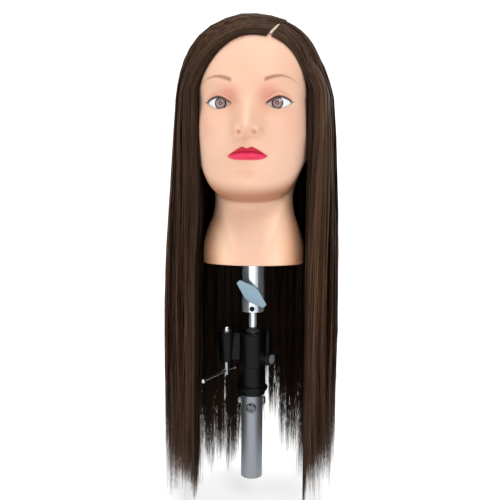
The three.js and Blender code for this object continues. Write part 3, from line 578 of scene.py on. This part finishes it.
def build_eye(name, sign, node_name, material):
    """A ball behind the lids, with a slight bulge over the iris."""
    polar, turn = np.linspace(0, math.pi, 49), np.linspace(0, 2 * math.pi, 65)[:-1]
    p, t = np.meshgrid(polar, turn, indexing="ij")
    r = EYE["r"] + 2.0 + 0.55 * bump(p, 0, 0.40)
    points = np.stack([r * np.sin(p) * np.sin(t), -r * np.cos(p), r * np.sin(p) * np.cos(t)], -1)
    eye = make_mesh(name, points.reshape(-1, 3), grid_faces(49, 64, True)[:, ::-1])
    eye.location = (sign * EYE["x"] * MM, (EYE["y"] + 2.05) * MM, (NECK_Z + EYE["h"]) * MM)
    eye.rotation_euler = (0, 0, math.radians(-4.0 * sign))
    eye.data.materials.append(material)
    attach(eye, "head")
    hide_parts(node_name)


iris_and_white = eye_material()
build_eye("eye_right", -1, "right_eye", iris_and_white)
build_eye("eye_left", 1, "left_eye", iris_and_white)


# ---------------- room for the hair
# Outline of the hair: height h, half width, reach to the front, reach to the back.
OUTLINE = np.array([
    [-267, 99, 66, 104],
    [-60, 101, 68, 108],
    [23, 99, 70, 110],
    [80, 96, 74, 112],
    [120, 93, 79, 113],
    [162, 91.5, 87, 113],
    [190, 88.5, 91, 113],
    [204, 86, 91.5, 112],
    [218, 82.5, 90.5, 109],
    [231, 77.5, 87, 104],
    [245, 69.5, 76, 95],
    [257, 59, 61, 80],
    [267, 45, 43, 58],
    [275, 29, 25, 34],
    [278.5, 0.5, 0.5, 0.5],
])
CENTRE_H = 185.0  # middle of the head, where the dome of hair ends and the hanging hair begins
HAIR_LIFT = 1.2  # of the lowest hairs above the scalp
TABLE_STEP = {"degrees": 2.5, "h": 2.0}


def outline_radius(phi, h):
    """Distance of the outside of the hair from the axis, by azimuth and height."""
    across, front, back = (np.interp(h, OUTLINE[:, 0], OUTLINE[:, k]) for k in (1, 2, 3))
    turned = smooth(np.cos(phi), -0.25, 0.25)
    reach = mix(back, front, turned)
    radius = 1 / np.sqrt((np.sin(phi) / across) ** 2 + (np.cos(phi) / reach) ** 2)
    return np.where(h > OUTLINE[-1, 0], -1.0, radius)


def scalp_table():
    """Largest distance of the head from the axis, by azimuth and height."""
    azimuths = np.radians(np.arange(-180, 181, TABLE_STEP["degrees"]))
    along, angle = np.meshgrid(np.linspace(0, LAST, 700), azimuths, indexing="ij")
    radius, h = plain_head(along, angle)
    rows = np.arange(0, 272, TABLE_STEP["h"])
    table = np.zeros((len(rows), angle.shape[1]))
    index = np.clip(np.round(h / TABLE_STEP["h"]).astype(int), 0, len(rows) - 1)
    for j in range(angle.shape[1]):
        np.maximum.at(table[:, j], index[:, j], radius[:, j])
        seen = table[:, j] > 0
        table[:, j] = np.interp(rows, rows[seen], table[seen, j])
    return table


SCALP = scalp_table()


def scalp_radius(phi, h):
    """Distance of the scalp from the axis, read between the rows and columns of the table."""
    rows = np.clip(h / TABLE_STEP["h"], 0, len(SCALP) - 1.001)
    columns = (np.degrees(phi) + 180) % 360 / TABLE_STEP["degrees"]
    i, j = np.floor(rows).astype(int), np.floor(columns).astype(int)
    a, b = rows - i, columns - j
    k = np.minimum(j + 1, SCALP.shape[1] - 1)
    low = mix(SCALP[i, j], SCALP[i, k], b)
    high = mix(SCALP[i + 1, j], SCALP[i + 1, k], b)
    return np.where(h < 0, 0, np.where(h > 270, -1.0, mix(low, high, a)))


def ray_length(radius_at, phi, elevation):
    """How far from the middle of the head a ray meets a surface given by radius_at(azimuth, h)."""
    low, high = np.zeros_like(phi), np.full_like(phi, 160.0)
    for _ in range(22):
        middle = (low + high) / 2
        inside = middle * np.cos(elevation) < radius_at(phi, CENTRE_H + middle * np.sin(elevation))
        low, high = np.where(inside, middle, low), np.where(inside, high, middle)
    return low


FALL_DEPTH = 30.0  # the most that the hanging hair is thick
HANG_ASIDE = -2.5  # the hanging hair sits a little towards the wearer's right


def hair_points(phi, elevation, h, depth, sunk):
    """Points in the hair: over the dome by azimuth and elevation, and below it by azimuth and height h.
    depth is 0 on the outside and 1 against the scalp; sunk is how much lower the top of the dome lies."""
    over = elevation > 0
    tall = np.where(over, elevation, 0.0)
    outer = ray_length(outline_radius, phi, tall) - sunk * np.sin(tall)
    inner = ray_length(scalp_radius, phi, tall) + HAIR_LIFT
    length = np.maximum(mix(outer, inner, depth), inner)
    level = length * np.cos(tall)
    dome = np.stack([level * np.sin(phi), -level * np.cos(phi), CENTRE_H + length * np.sin(tall)], -1)
    edge = outline_radius(phi, h)
    head_edge = scalp_radius(phi, h) + HAIR_LIFT
    room = np.minimum(np.maximum(edge - head_edge, 2.0), FALL_DEPTH)
    reach = np.maximum(edge - depth * room, head_edge)
    aside = HANG_ASIDE * smooth(150 - h, 0, 200)
    hanging = np.stack([reach * np.sin(phi) + aside, -reach * np.cos(phi), h], -1)
    return np.where(over[..., None], dome, hanging)


PARTING_Y, PARTING_LENGTH = -79, 118


def parting_x(s):
    """How far the parting lies to the wearer's left, from the hairline at 0 to the crown at 1."""
    return np.interp(s, [0, 0.1, 0.2, 0.3, 0.45, 0.7, 1.0], [19.5, 25.5, 30.5, 34, 34.5, 27, 10])


def parting(s):
    """Azimuth and elevation of the parting, from the hairline at 0 to the crown at 1."""
    x = parting_x(s)
    y = PARTING_Y + PARTING_LENGTH * s
    top = np.interp(np.hypot(x, y), [0, 38, 66, 83, 90], [271, 265, 251, 232, 215])
    return np.arctan2(x, -y), np.arctan2(top - CENTRE_H, np.hypot(x, y))


def slerp(phi0, up0, phi1, up1, t):
    """Azimuth and elevation along the great circle between two directions."""
    a = np.stack([np.cos(up0) * np.sin(phi0), -np.cos(up0) * np.cos(phi0), np.sin(up0)], -1)
    b = np.stack([np.cos(up1) * np.sin(phi1), -np.cos(up1) * np.cos(phi1), np.sin(up1)], -1)
    angle = np.arccos(np.clip((a * b).sum(-1), -1, 1))[..., None]
    t = t[..., None] if np.ndim(t) else t
    d = (np.sin((1 - t) * angle) * a + np.sin(t * angle) * b) / np.maximum(np.sin(angle), 1e-6)
    return np.arctan2(d[..., 0], -d[..., 1]), np.arcsin(np.clip(d[..., 2], -1, 1))


# ---------------- strands
BUCKETS = 64  # columns of the hair's UV map, each with a tone of its own
STRAND_WIDTH = 1.05
LOWEST_TIP = -290.0
OVER_STEPS, FALL_STEPS = 12, 9  # points over the dome and below it
SUNK_LEFT = 10.5  # the dome is lower on the wearer's left, the short side of the parting
NECK_ROOM = {"right": 53.5, "left": 60.5, "centre_y": 12.0, "depth": 64.0}


def tip_height(phi):
    """Where the hair ends, by azimuth, above the neck's underside."""
    right = [(-180, -246), (-165, -268), (-150, -274), (-120, -268), (-90, -258), (-60, -250), (-38, -246)]
    left = [(38, -252), (60, -242), (90, -238), (110, -250), (125, -256), (140, -262), (153, -250)]
    behind = [(160, -222), (168, -196), (180, -172)]
    return np.interp(np.degrees(phi), *np.array(right + left + behind, float).T)


def clear_of_neck(points, r):
    """Push hanging hair out of the room kept for the neck and the stand."""
    x, y, h = points[..., 0], points[..., 1], points[..., 2]
    lower = smooth(-h, -60, -10)
    wide = np.where(x < 0, NECK_ROOM["right"] + 4.5 * lower, NECK_ROOM["left"])
    wide = wide + np.abs(r.normal(0, 1.6, (len(points), 1)))
    behind = np.clip((y - NECK_ROOM["centre_y"]) / NECK_ROOM["depth"], 0, 1)
    reach = wide * np.sqrt(1 - behind**2) * smooth(-h, -172, -140)
    points[..., 0] = np.where(x < 0, -1, 1) * np.maximum(np.abs(x), reach)
    return points


def eased(azimuth, amount):
    """Round the corner that each strand makes where it starts to hang."""
    near = smooth(-np.abs(np.arange(azimuth.shape[1]) - OVER_STEPS), -5, -2)
    share = amount[:, None] * near
    azimuth = np.unwrap(azimuth, axis=1)
    for _ in range(6):
        middle = 0.25 * azimuth[:, :-2] + 0.5 * azimuth[:, 1:-1] + 0.25 * azimuth[:, 2:]
        azimuth[:, 1:-1] = mix(azimuth[:, 1:-1], middle, share[:, 1:-1])
    return azimuth


def make_locks(r, count, first, last, depths):
    """Locks that strands gather into: where each hangs, how deep it lies, and how it ends and leans."""
    return {
        "degrees": first + (last - first) * (np.arange(count) + r.uniform(0.05, 0.95, count)) / count,
        "depth": r.uniform(depths[0], depths[1], count),
        "end": r.normal(0, 16, count) + np.where(r.random(count) < 0.3, r.uniform(10, 60, count), 0),
        "lean": np.radians(2.2) * r.normal(0, 1, count),
        "turn": r.uniform(-0.5, 0.5, count),
    }


def over_the_dome(r, degrees, depth, side):
    """Azimuths and elevations from the parting down to the level where a strand starts to hang."""
    s = np.clip((np.abs(degrees) - 40) / 140 + r.normal(0, 0.03, len(degrees)), 0, 1)
    phi0, up0 = parting(s)
    phi0 = phi0 + side * np.radians(mix(1.6, 0.4, smooth(s, 0.12, 0.24)))
    deeper_start = np.clip(depth * 0.75 + r.uniform(-0.15, 0.1, len(degrees)), 0.0, 0.9)
    start = deeper_start * smooth(depth, 0.12, 0.3)
    t = start[:, None] + (1 - start[:, None]) * np.linspace(0, 1, OVER_STEPS)
    spread = np.zeros_like(t)
    phi1 = np.radians(degrees)[:, None] + spread
    phi, up = slerp(phi0[:, None] + spread, up0[:, None] + spread, phi1, spread, t)
    arch = (8.6 if side < 0 else 5.0) * smooth(72 - np.abs(degrees), 0, 34)
    up = up + np.radians(arch)[:, None] * np.sin(np.pi * t**0.9)
    up[:, -1] = -1.0
    rooted = mix(np.maximum(depth[:, None], 0.55), depth[:, None], smooth(t, 0, 0.35))
    return phi, up, rooted


def hanging(r, degrees, depth, side, lock, together):
    """Azimuths, heights and depths below the dome, down to ragged ends."""
    count = len(degrees)
    phi, lock_phi = np.radians(degrees)[:, None], np.radians(lock["degrees"])
    raggedness = mix(1.0, 1.7 if side > 0 else 1.35, smooth(np.abs(degrees), 105, 145))
    short = np.abs(r.normal(0, 12, count)) + np.where(r.random(count) < 0.42, r.uniform(0, 110, count), 0)
    end = tip_height(lock_phi) + lock["end"] + short * raggedness
    end = np.maximum(end, LOWEST_TIP + 8 * r.random(count) ** 2)
    f = np.linspace(0, 1, FALL_STEPS + 1)[1:]
    h = CENTRE_H + (end[:, None] - CENTRE_H) * f
    gather = together * (0.40 * smooth(f, 0.0, 0.6) + 0.48 * smooth(f, 0.6, 1.0))
    wave = r.uniform(0, 2 * np.pi, (count, 1))
    sway = np.radians(1.1) * np.sin(f * r.uniform(3, 8, (count, 1)) + wave) * smooth(f, 0.1, 0.5)
    lock_wave = np.radians(1.5) * np.sin(f * 6 + lock["turn"][:, None] * 12) * smooth(f, 0.1, 0.6)
    front_lean = side * np.radians(2.2) * smooth(60 - np.abs(degrees), 0, 18)[:, None] * smooth(f, 0, 0.12)
    stray = np.radians(1.0) * r.normal(0, 1, (count, 1)) * smooth(f, 0.72, 1.15)
    stray = stray + lock["lean"][:, None] * smooth(f, 0.55, 1.1)
    phi = mix(phi, lock_phi[:, None], gather) + sway + lock_wave + front_lean + stray
    depth = mix(depth[:, None], lock["depth"][:, None], gather) + 0.05 * np.sin(f * 7 + wave)
    depth = depth + 0.15 * r.normal(0, 1, (count, 1)) * smooth(f, 0.7, 1.1)
    return phi, h, depth


def strands(name, first, last, depths, node_names, seed, strands_a_lock=70, together=1.0):
    """A section of hair: flat strands from the parting over the head, hanging to ragged ends.
    first and last are azimuths in degrees; together is how closely the strands of a lock gather."""
    r = np.random.default_rng(seed)
    side = 1 if first + last > 0 else -1
    locks = make_locks(r, max(20, PER_PIECE // strands_a_lock), first, last, depths)
    degrees = first + (last - first) * r.random(PER_PIECE)
    depth = r.uniform(depths[0], depths[1], PER_PIECE)
    apart = (degrees[:, None] - locks["degrees"]) ** 2 + (40 * (depth[:, None] - locks["depth"])) ** 2
    nearest = np.argmin(apart + r.normal(0, 6, apart.shape), axis=1)
    lock = {key: value[nearest] for key, value in locks.items()}

    over_phi, over_up, rooted = over_the_dome(r, degrees, depth, side)
    fall_phi, fall_h, fall_depth = hanging(r, degrees, depth, side, lock, together)
    phi = eased(np.concatenate([over_phi, fall_phi], 1), smooth(np.abs(degrees), 45, 75))
    up = np.concatenate([over_up, np.full_like(fall_h, -1.0)], 1)
    h = np.concatenate([np.full_like(over_up, CENTRE_H), fall_h], 1)
    depth = np.clip(np.concatenate([rooted, fall_depth], 1), 0, 1)
    points = clear_of_neck(hair_points(phi, up, h, depth, SUNK_LEFT if side > 0 else 0.0), r)
    points[..., 2] += NECK_Z
    points += r.normal(0, 0.25, (PER_PIECE, 1, 3))
    warmth = r.random(len(locks["end"]))[nearest][:, None] + 0 * depth
    # inside: how deep a strand lies, used for painted shade that darkens the inner hair
    obj = ribbons(name, points, r, lock["turn"], {"inside": smooth(depth, 0.35, 0.95), "warmth": warmth})
    if node_names:
        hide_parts(*node_names)
    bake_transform(obj)


def ribbons(name, points, r, tilt, shades):
    """Flat tapered ribbons along rows of points."""
    count, n, _ = points.shape
    tangent = np.gradient(points, axis=1)
    tangent /= np.linalg.norm(tangent, axis=-1, keepdims=True) + 1e-9
    outward = points - np.array([0, 0, NECK_Z + CENTRE_H])
    outward[..., 2] = np.where(outward[..., 2] > 0, outward[..., 2], 0)
    outward /= np.linalg.norm(outward, axis=-1, keepdims=True) + 1e-9
    sideways = np.cross(tangent, outward)
    sideways /= np.linalg.norm(sideways, axis=-1, keepdims=True) + 1e-9
    normal = np.cross(sideways, tangent)
    turn = (tilt + r.normal(0, 0.35, count))[:, None, None] * np.ones((1, n, 1))
    sideways = sideways * np.cos(turn) + normal * np.sin(turn)
    along = np.linspace(0, 1, n)
    taper = np.interp(along, [0, 0.08, 0.6, 0.85, 1], [0.6, 1, 1, 0.55, 0.06])
    half = 0.5 * STRAND_WIDTH * r.uniform(0.6, 1.35, count)[:, None] * taper
    edges = [points - sideways * half[..., None], points + sideways * half[..., None]]
    both = np.stack(edges, 2).reshape(-1, 3)
    base = (np.arange(count) * n * 2)[:, None] + (np.arange(n - 1) * 2)[None, :]
    quads = np.stack([base, base + 1, base + 3, base + 2], -1).reshape(-1, 4)
    bucket = r.integers(0, BUCKETS, count)
    u = np.stack([np.repeat((bucket + at) / BUCKETS, n) for at in (0.25, 0.75)], 1).ravel()
    v = np.stack([np.tile(along, count)] * 2, 1).ravel()
    values = {key: np.repeat(shade.ravel(), 2) for key, shade in shades.items()}
    obj = make_mesh(name, both, quads, uv=np.stack([u, v], 1), values=values)
    obj.data.materials.append(hair_surface)
    return obj


def hair_material():
    """Strands from near black to brown, by column of the UV map and by lock, with painted shade making the
    inner strands darker.
    """
    s = Surface("straight_hair")
    uv = s.add("ShaderNodeUVMap", uv_map="OFBake").outputs[0]
    parts = s.add("ShaderNodeSeparateXYZ", {"Vector": uv})
    column = s.maths("FLOOR", s.product(parts.outputs[0], float(BUCKETS)))
    tone = s.add("ShaderNodeTexWhiteNoise", {"W": column}, noise_dimensions="1D").outputs["Value"]
    along = {0: s.product(column, 7.3), 1: s.product(parts.outputs[1], 5.0)}
    patch = s.noise(s.add("ShaderNodeCombineXYZ", along).outputs[0], 1.5, 3.0)
    dark, mid, light = (0.0085, 0.0040, 0.0024), (0.034, 0.0155, 0.0085), (0.165, 0.082, 0.044)
    colour = s.ramp(tone, [(0.0, dark), (0.45, mid), (0.80, mid), (1.0, light)])
    colour = s.blend(s.fit(patch, 0.4, 0.7, 0.0, 0.35), colour, light)
    colour = s.blend(s.fit(parts.outputs[1], 0.60, 1.0, 0.0, 0.12), colour, light)
    colour = s.blend(s.fit(s.value("warmth"), 0.50, 1.0, 0.0, 0.62), colour, (0.095, 0.044, 0.023))
    colour = s.blend(s.fit(s.value("warmth"), 0.0, 0.42, 0.62, 0.0), colour, (0.010, 0.0048, 0.0030))
    # painted shade: the inner hair darker
    colour = s.blend(s.product(s.value("inside"), 0.85), colour, (0.0045, 0.0026, 0.0020))
    s.set(
        Base_Color=colour,
        Roughness=s.fit(tone, 0, 1, 0.46, 0.62),
        Specular_IOR_Level=0.20,
        Specular_Tint=(1.0, 0.78, 0.58, 1.0),
    )
    return s.material


hair_surface = hair_material()
PER_PIECE = int(4900 * (1.0))
OUTSIDE, INSIDE, THROUGH = (0.0, 0.5), (0.4, 1.0), (0.0, 1.0)
RIGHT_NODES = ["hair_side_right", "hair_fall_right", "hair_top_right"]
LEFT_NODES = ["hair_side_left", "hair_fall_left", "hair_top_left"]
REAR_NODES = ["hair_back", "hair_fall_back"]
strands("hair_right_outer", -38.5, -118, OUTSIDE, RIGHT_NODES, 1)
strands("hair_right_inner", -38.5, -118, INSIDE, [], 2)
strands("hair_left_outer", 45.5, 118, OUTSIDE, LEFT_NODES, 3)
strands("hair_left_inner", 45.5, 118, INSIDE, [], 4)
strands("hair_rear_right", -108, -185, THROUGH, REAR_NODES, 5, strands_a_lock=45, together=0.6)
strands("hair_rear_left", 108, 185, THROUGH, [], 6, strands_a_lock=45, together=0.8)


# ---------------- scalp under the hair
CAP_LIFT = 0.9  # of the layer above the scalp


def hairline_height(phi):
    """Lowest edge of the hair's roots, by azimuth, above the neck's underside."""
    right = [(-180, 86), (-120, 92), (-90, 124), (-70, 150), (-48, 160), (-42, 172), (-37.5, 193), (-32, 212)]
    front = [(-22, 224), (-10, 234), (0, 236), (14, 236), (22, 233), (28, 226), (38, 213), (43, 200)]
    left = [(48, 180), (53, 165), (70, 150), (90, 124), (120, 92), (180, 86)]
    return np.interp(np.degrees(phi), *np.array(right + front + left, float).T)


def build_cap():
    """A close dark layer under the strands, pale along the parting."""
    azimuths, elevations = np.radians(np.arange(-180, 180, 2.0)), np.radians(np.arange(-58, 88.6, 1.5))
    phi, up = np.meshgrid(azimuths, elevations, indexing="ij")
    tall = np.maximum(up, 0)
    length = ray_length(scalp_radius, phi, tall) + CAP_LIFT
    h_low = CENTRE_H + np.degrees(np.minimum(up, 0)) * 2.0
    over = up > 0
    radius = np.where(over, length * np.cos(tall), scalp_radius(phi, h_low) + CAP_LIFT)
    h = np.where(over, CENTRE_H + length * np.sin(tall), h_low)
    at = np.stack([radius * np.sin(phi), -radius * np.cos(phi), h + NECK_Z], -1).reshape(-1, 3)
    rows, columns = phi.shape
    low_edge = np.arange(columns - 1)
    high_edge = low_edge + (rows - 1) * columns
    seam = np.stack([high_edge, low_edge, low_edge + 1, high_edge + 1], -1)
    faces = np.concatenate([grid_faces(rows, columns, False), seam])
    above = (h > hairline_height(phi)).ravel()
    faces = faces[above[faces].all(1)][:, ::-1]
    s = np.clip((at[:, 1] - PARTING_Y) / PARTING_LENGTH, 0, 1)
    pale = np.exp(-(((at[:, 0] - parting_x(s)) / 2.8) ** 4)) * (at[:, 1] < 5) * (at[:, 2] > NECK_Z + 222)
    cap = make_mesh("hair_scalp", at, faces, values={"pale": pale})
    cap.data.materials.append(cap_material())
    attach(cap, "head")


def cap_material():
    """Dark roots with a fine relief, and pale skin where the parting shows."""
    s = Surface("scalp_hair")
    fibres = s.noise(s.stretch(s.place(), (900, 200, 200)), 1.0, 3.0)
    colour = s.blend(fibres, (0.012, 0.007, 0.005), (0.04, 0.022, 0.014))
    s.set(Base_Color=s.blend(s.value("pale"), colour, (0.80, 0.58, 0.44)), Roughness=0.55)
    s.set(Normal=s.relief(fibres, 0.0006, 0.6))
    return s.material


build_cap()


# ---------------- the stand
SHARP_ANGLE = math.radians(32)
WELD = 2e-6
BALL_TOP = 0.1766  # height at which the dark coating of the ball ends


def smooth_by_angle():
    """A node group that welds a mesh and shades it smooth apart from its sharp edges."""
    group = bpy.data.node_groups.new("smooth_by_angle", "GeometryNodeTree")
    group.interface.new_socket("Geometry", in_out="INPUT", socket_type="NodeSocketGeometry")
    group.interface.new_socket("Geometry", in_out="OUTPUT", socket_type="NodeSocketGeometry")
    nodes, links = group.nodes, group.links
    first, last = nodes.new("NodeGroupInput"), nodes.new("NodeGroupOutput")
    weld = nodes.new("GeometryNodeMergeByDistance")
    weld.inputs["Distance"].default_value = WELD
    faces, edges = nodes.new("GeometryNodeSetShadeSmooth"), nodes.new("GeometryNodeSetShadeSmooth")
    faces.domain, edges.domain = "FACE", "EDGE"
    faces.inputs["Shade Smooth"].default_value = True
    edges.inputs["Shade Smooth"].default_value = False
    angle = nodes.new("GeometryNodeInputMeshEdgeAngle")
    sharp = nodes.new("FunctionNodeCompare")
    sharp.operation = "GREATER_THAN"
    sharp.inputs["B"].default_value = SHARP_ANGLE
    links.new(angle.outputs["Unsigned Angle"], sharp.inputs["A"])
    links.new(first.outputs[0], weld.inputs["Geometry"])
    links.new(weld.outputs[0], faces.inputs["Geometry"])
    links.new(faces.outputs[0], edges.inputs["Geometry"])
    links.new(sharp.outputs[0], edges.inputs["Selection"])
    links.new(edges.outputs[0], last.inputs[0])
    return group


def ball_material():
    """Bright rod below the adaptor, dark coated ball."""
    s = Surface("coated_ball_and_rod")
    where = s.place()
    height = s.add("ShaderNodeSeparateXYZ", {"Vector": where}).outputs[2]
    coated = s.fit(height, BALL_TOP + 0.0006, BALL_TOP + 0.0004)
    scuffs = s.noise(where, 260.0, 4.0)
    metal = s.blend(scuffs, (0.72, 0.73, 0.75), (0.76, 0.77, 0.79))
    coat = s.blend(scuffs, (0.020, 0.020, 0.021), (0.045, 0.045, 0.047))
    s.set(
        Base_Color=s.blend(coated, metal, coat),
        Metallic=s.fit(coated, 0, 1, 0.62, 0.0),
        Roughness=s.fit(scuffs, 0.3, 0.7, 0.20, 0.25),
        Normal=s.relief(s.noise(where, 800.0), 0.000003),
    )
    return s.material


def stand_surfaces():
    """Surfaces by material slot, or by piece where one piece differs from the rest of its slot."""
    black = {"edge": 0.0005, "shine": 0.16}
    plate = {"edge": 0.0009, "uneven": 0.1}
    drawn = {"stretch": (1, 1, 0.04), "uneven": 0.1}
    rows = {  # name, colour, metallic, roughness, grain, depth, mottling and any other settings
        "chrome": ("bright_chrome", (0.56, 0.59, 0.62), 1.0, 0.24, 900.0, 1e-5, 0.06, {}),
        "zinc": ("blue_zinc", (0.19, 0.265, 0.32), 0.9, 0.24, 700.0, 2e-5, 0.06, plate),
        "aluminium": ("satin_aluminium", (0.28, 0.305, 0.33), 0.9, 0.46, 500.0, 3e-5, 0.08, drawn),
        "steel": ("plain_steel", (0.36, 0.37, 0.38), 1.0, 0.30, 700.0, 4e-5, 0.12, {}),
        "black_paint": ("black_paint", (0.0022, 0.0021, 0.0026), 0.0, 0.38, 600.0, 4e-5, 0.2, black),
        "black_plastic": ("black_moulding", (0.0024, 0.0023, 0.0028), 0.0, 0.38, 900.0, 4e-5, 0.2, black),
        "nylon": ("white_nylon", (0.75, 0.74, 0.68), 0.0, 0.45, 500.0, 4e-5, 0.06, {}),
        "foam": ("open_foam", (0.78, 0.70, 0.55), 0.0, 0.9, 350.0, 5e-4, 0.2, {}),
        "adaptor_tube": ("plated_tube", (0.66, 0.71, 0.76), 0.72, 0.20, 900.0, 4e-6, 0.02, {"uneven": 0.06}),
        # bolt_steel: steel painted darker as painted reflection, standing in for the dark surroundings the
        # bolts reflect
        "side_bolt": ("bolt_steel", (0.15, 0.16, 0.18), 1.0, 0.22, 700.0, 2e-5, 0.1, {"uneven": 0.1}),
        "lever_cap": ("lever_cap_steel", (0.30, 0.35, 0.40), 0.35, 0.35, 900.0, 1e-5, 0.06, {}),
    }
    made = {key: worked_surface(*row[:-1], **row[-1]) for key, row in rows.items()}
    made["socket_plastic"], made["front_bolt"] = made["black_plastic"], made["side_bolt"]
    made["ball_stud"] = ball_material()
    return made


def dress_stand():
    """Give each piece of the stand its surface, and shade its faces smooth or flat."""
    smoothed, surfaces = smooth_by_angle(), stand_surfaces()
    slots = {row["node"]: row["material_slot"] for row in frame["record"]["subparts"]}
    for node_name, node_object in frame["nodes"].items():
        surface = surfaces.get(node_name) or surfaces.get(slots[node_name])
        if surface is None:
            continue
        node_object.data.materials.clear()
        node_object.data.materials.append(surface)
        node_object.modifiers.new("smoothed", "NODES").node_group = smoothed
        node_object.modifiers.new("flat_faces_stay_flat", "WEIGHTED_NORMAL").keep_sharp = True


dress_stand()


# ---------------- floor, light and camera
FLOOR_Z = -0.03
SWEEP_FRONT, SWEEP_BACK, SWEEP_R, SWEEP_TOP, SWEEP_HALF = -4.0, 1.6, 1.2, 5.0, 6.0


def build_stage():
    """White paper that lies on the floor and curves up behind the head."""
    profile = [(SWEEP_FRONT, FLOOR_Z)]
    for a in np.linspace(0, math.pi / 2, 13):
        profile.append((SWEEP_BACK + SWEEP_R * math.sin(a), FLOOR_Z + SWEEP_R * (1 - math.cos(a))))
    profile.append((SWEEP_BACK + SWEEP_R, SWEEP_TOP))
    points = [(x * 1000, y * 1000, z * 1000) for y, z in profile for x in (-SWEEP_HALF, SWEEP_HALF)]
    sweep = make_mesh("studio_sweep", points, grid_faces(len(profile), 2, False))
    s = Surface("studio_paper")
    tone = s.noise(s.place(), 1.2, 2.0)
    s.set(Base_Color=s.blend(tone, (0.47, 0.47, 0.47), (0.50, 0.50, 0.50)), Roughness=0.9)
    s.set(Emission_Color=(1, 1, 1, 1), Emission_Strength=0.62)
    sweep.data.materials.append(s.material)


def light_stage():
    """Soft lamps aimed at the head and the paper, and a little light from all sides."""
    lamps = {  # place, target, size and power
        "key": ((0.70, -1.40, 1.55), (0, 0, 0.40), (0.9, 0.9), 18.5),
        "fill": ((-1.5, -1.3, 0.75), (0, 0, 0.34), (1.2, 1.4), 7.5),
        "low": ((0.0, -1.7, 0.25), (0, 0, 0.29), (2.2, 0.8), 7.5),
        "crown": ((-0.30, -0.10, 1.9), (0, 0, 0.45), (1.1, 1.1), 16),
        "backdrop": ((0, 0.9, 2.1), (0, 2.8, 0.6), (2.4, 0.5), 34),
        "rim": ((1.2, 1.0, 0.9), (0, 0, 0.30), (0.5, 1.2), 9),
    }
    for name, (place, target, size, power) in lamps.items():
        data = bpy.data.lights.new(name, "AREA")
        data.shape, data.size, data.size_y, data.energy = "RECTANGLE", *size, power
        lamp = bpy.data.objects.new(name, data)
        lamp.location = place
        lamp.rotation_euler = (Vector(target) - Vector(place)).to_track_quat("-Z", "Y").to_euler()
        bpy.context.scene.collection.objects.link(lamp)
    world = bpy.data.worlds.new("studio")
    world.use_nodes = True
    background = world.node_tree.nodes["Background"]
    background.inputs["Color"].default_value = (1, 1, 1, 1)
    background.inputs["Strength"].default_value = 0.34
    bpy.context.scene.world = world
    bpy.context.scene.view_settings.view_transform = "Standard"


CAMERA_DISTANCE, CAMERA_Z = 0.70, 0.312
AZIMUTH, PITCH = math.radians(4.6), math.radians(3.7)
YAW, ROLL = math.radians(0.33), math.radians(0.5)


def build_camera():
    """A camera in front of the face, a little to the wearer's left and looking slightly down."""
    data = bpy.data.cameras.new("camera")
    data.lens, data.sensor_width = 43.56, 36.0
    camera = bpy.data.objects.new("camera", data)
    camera.location = (CAMERA_DISTANCE * math.sin(AZIMUTH), -CAMERA_DISTANCE * math.cos(AZIMUTH), CAMERA_Z)
    camera.rotation_euler = (math.pi / 2 - PITCH, 0, AZIMUTH + YAW)
    camera.rotation_euler.rotate_axis("Z", ROLL)
    bpy.context.scene.collection.objects.link(camera)
    bpy.context.scene.camera = camera


build_stage()
light_stage()
build_camera()
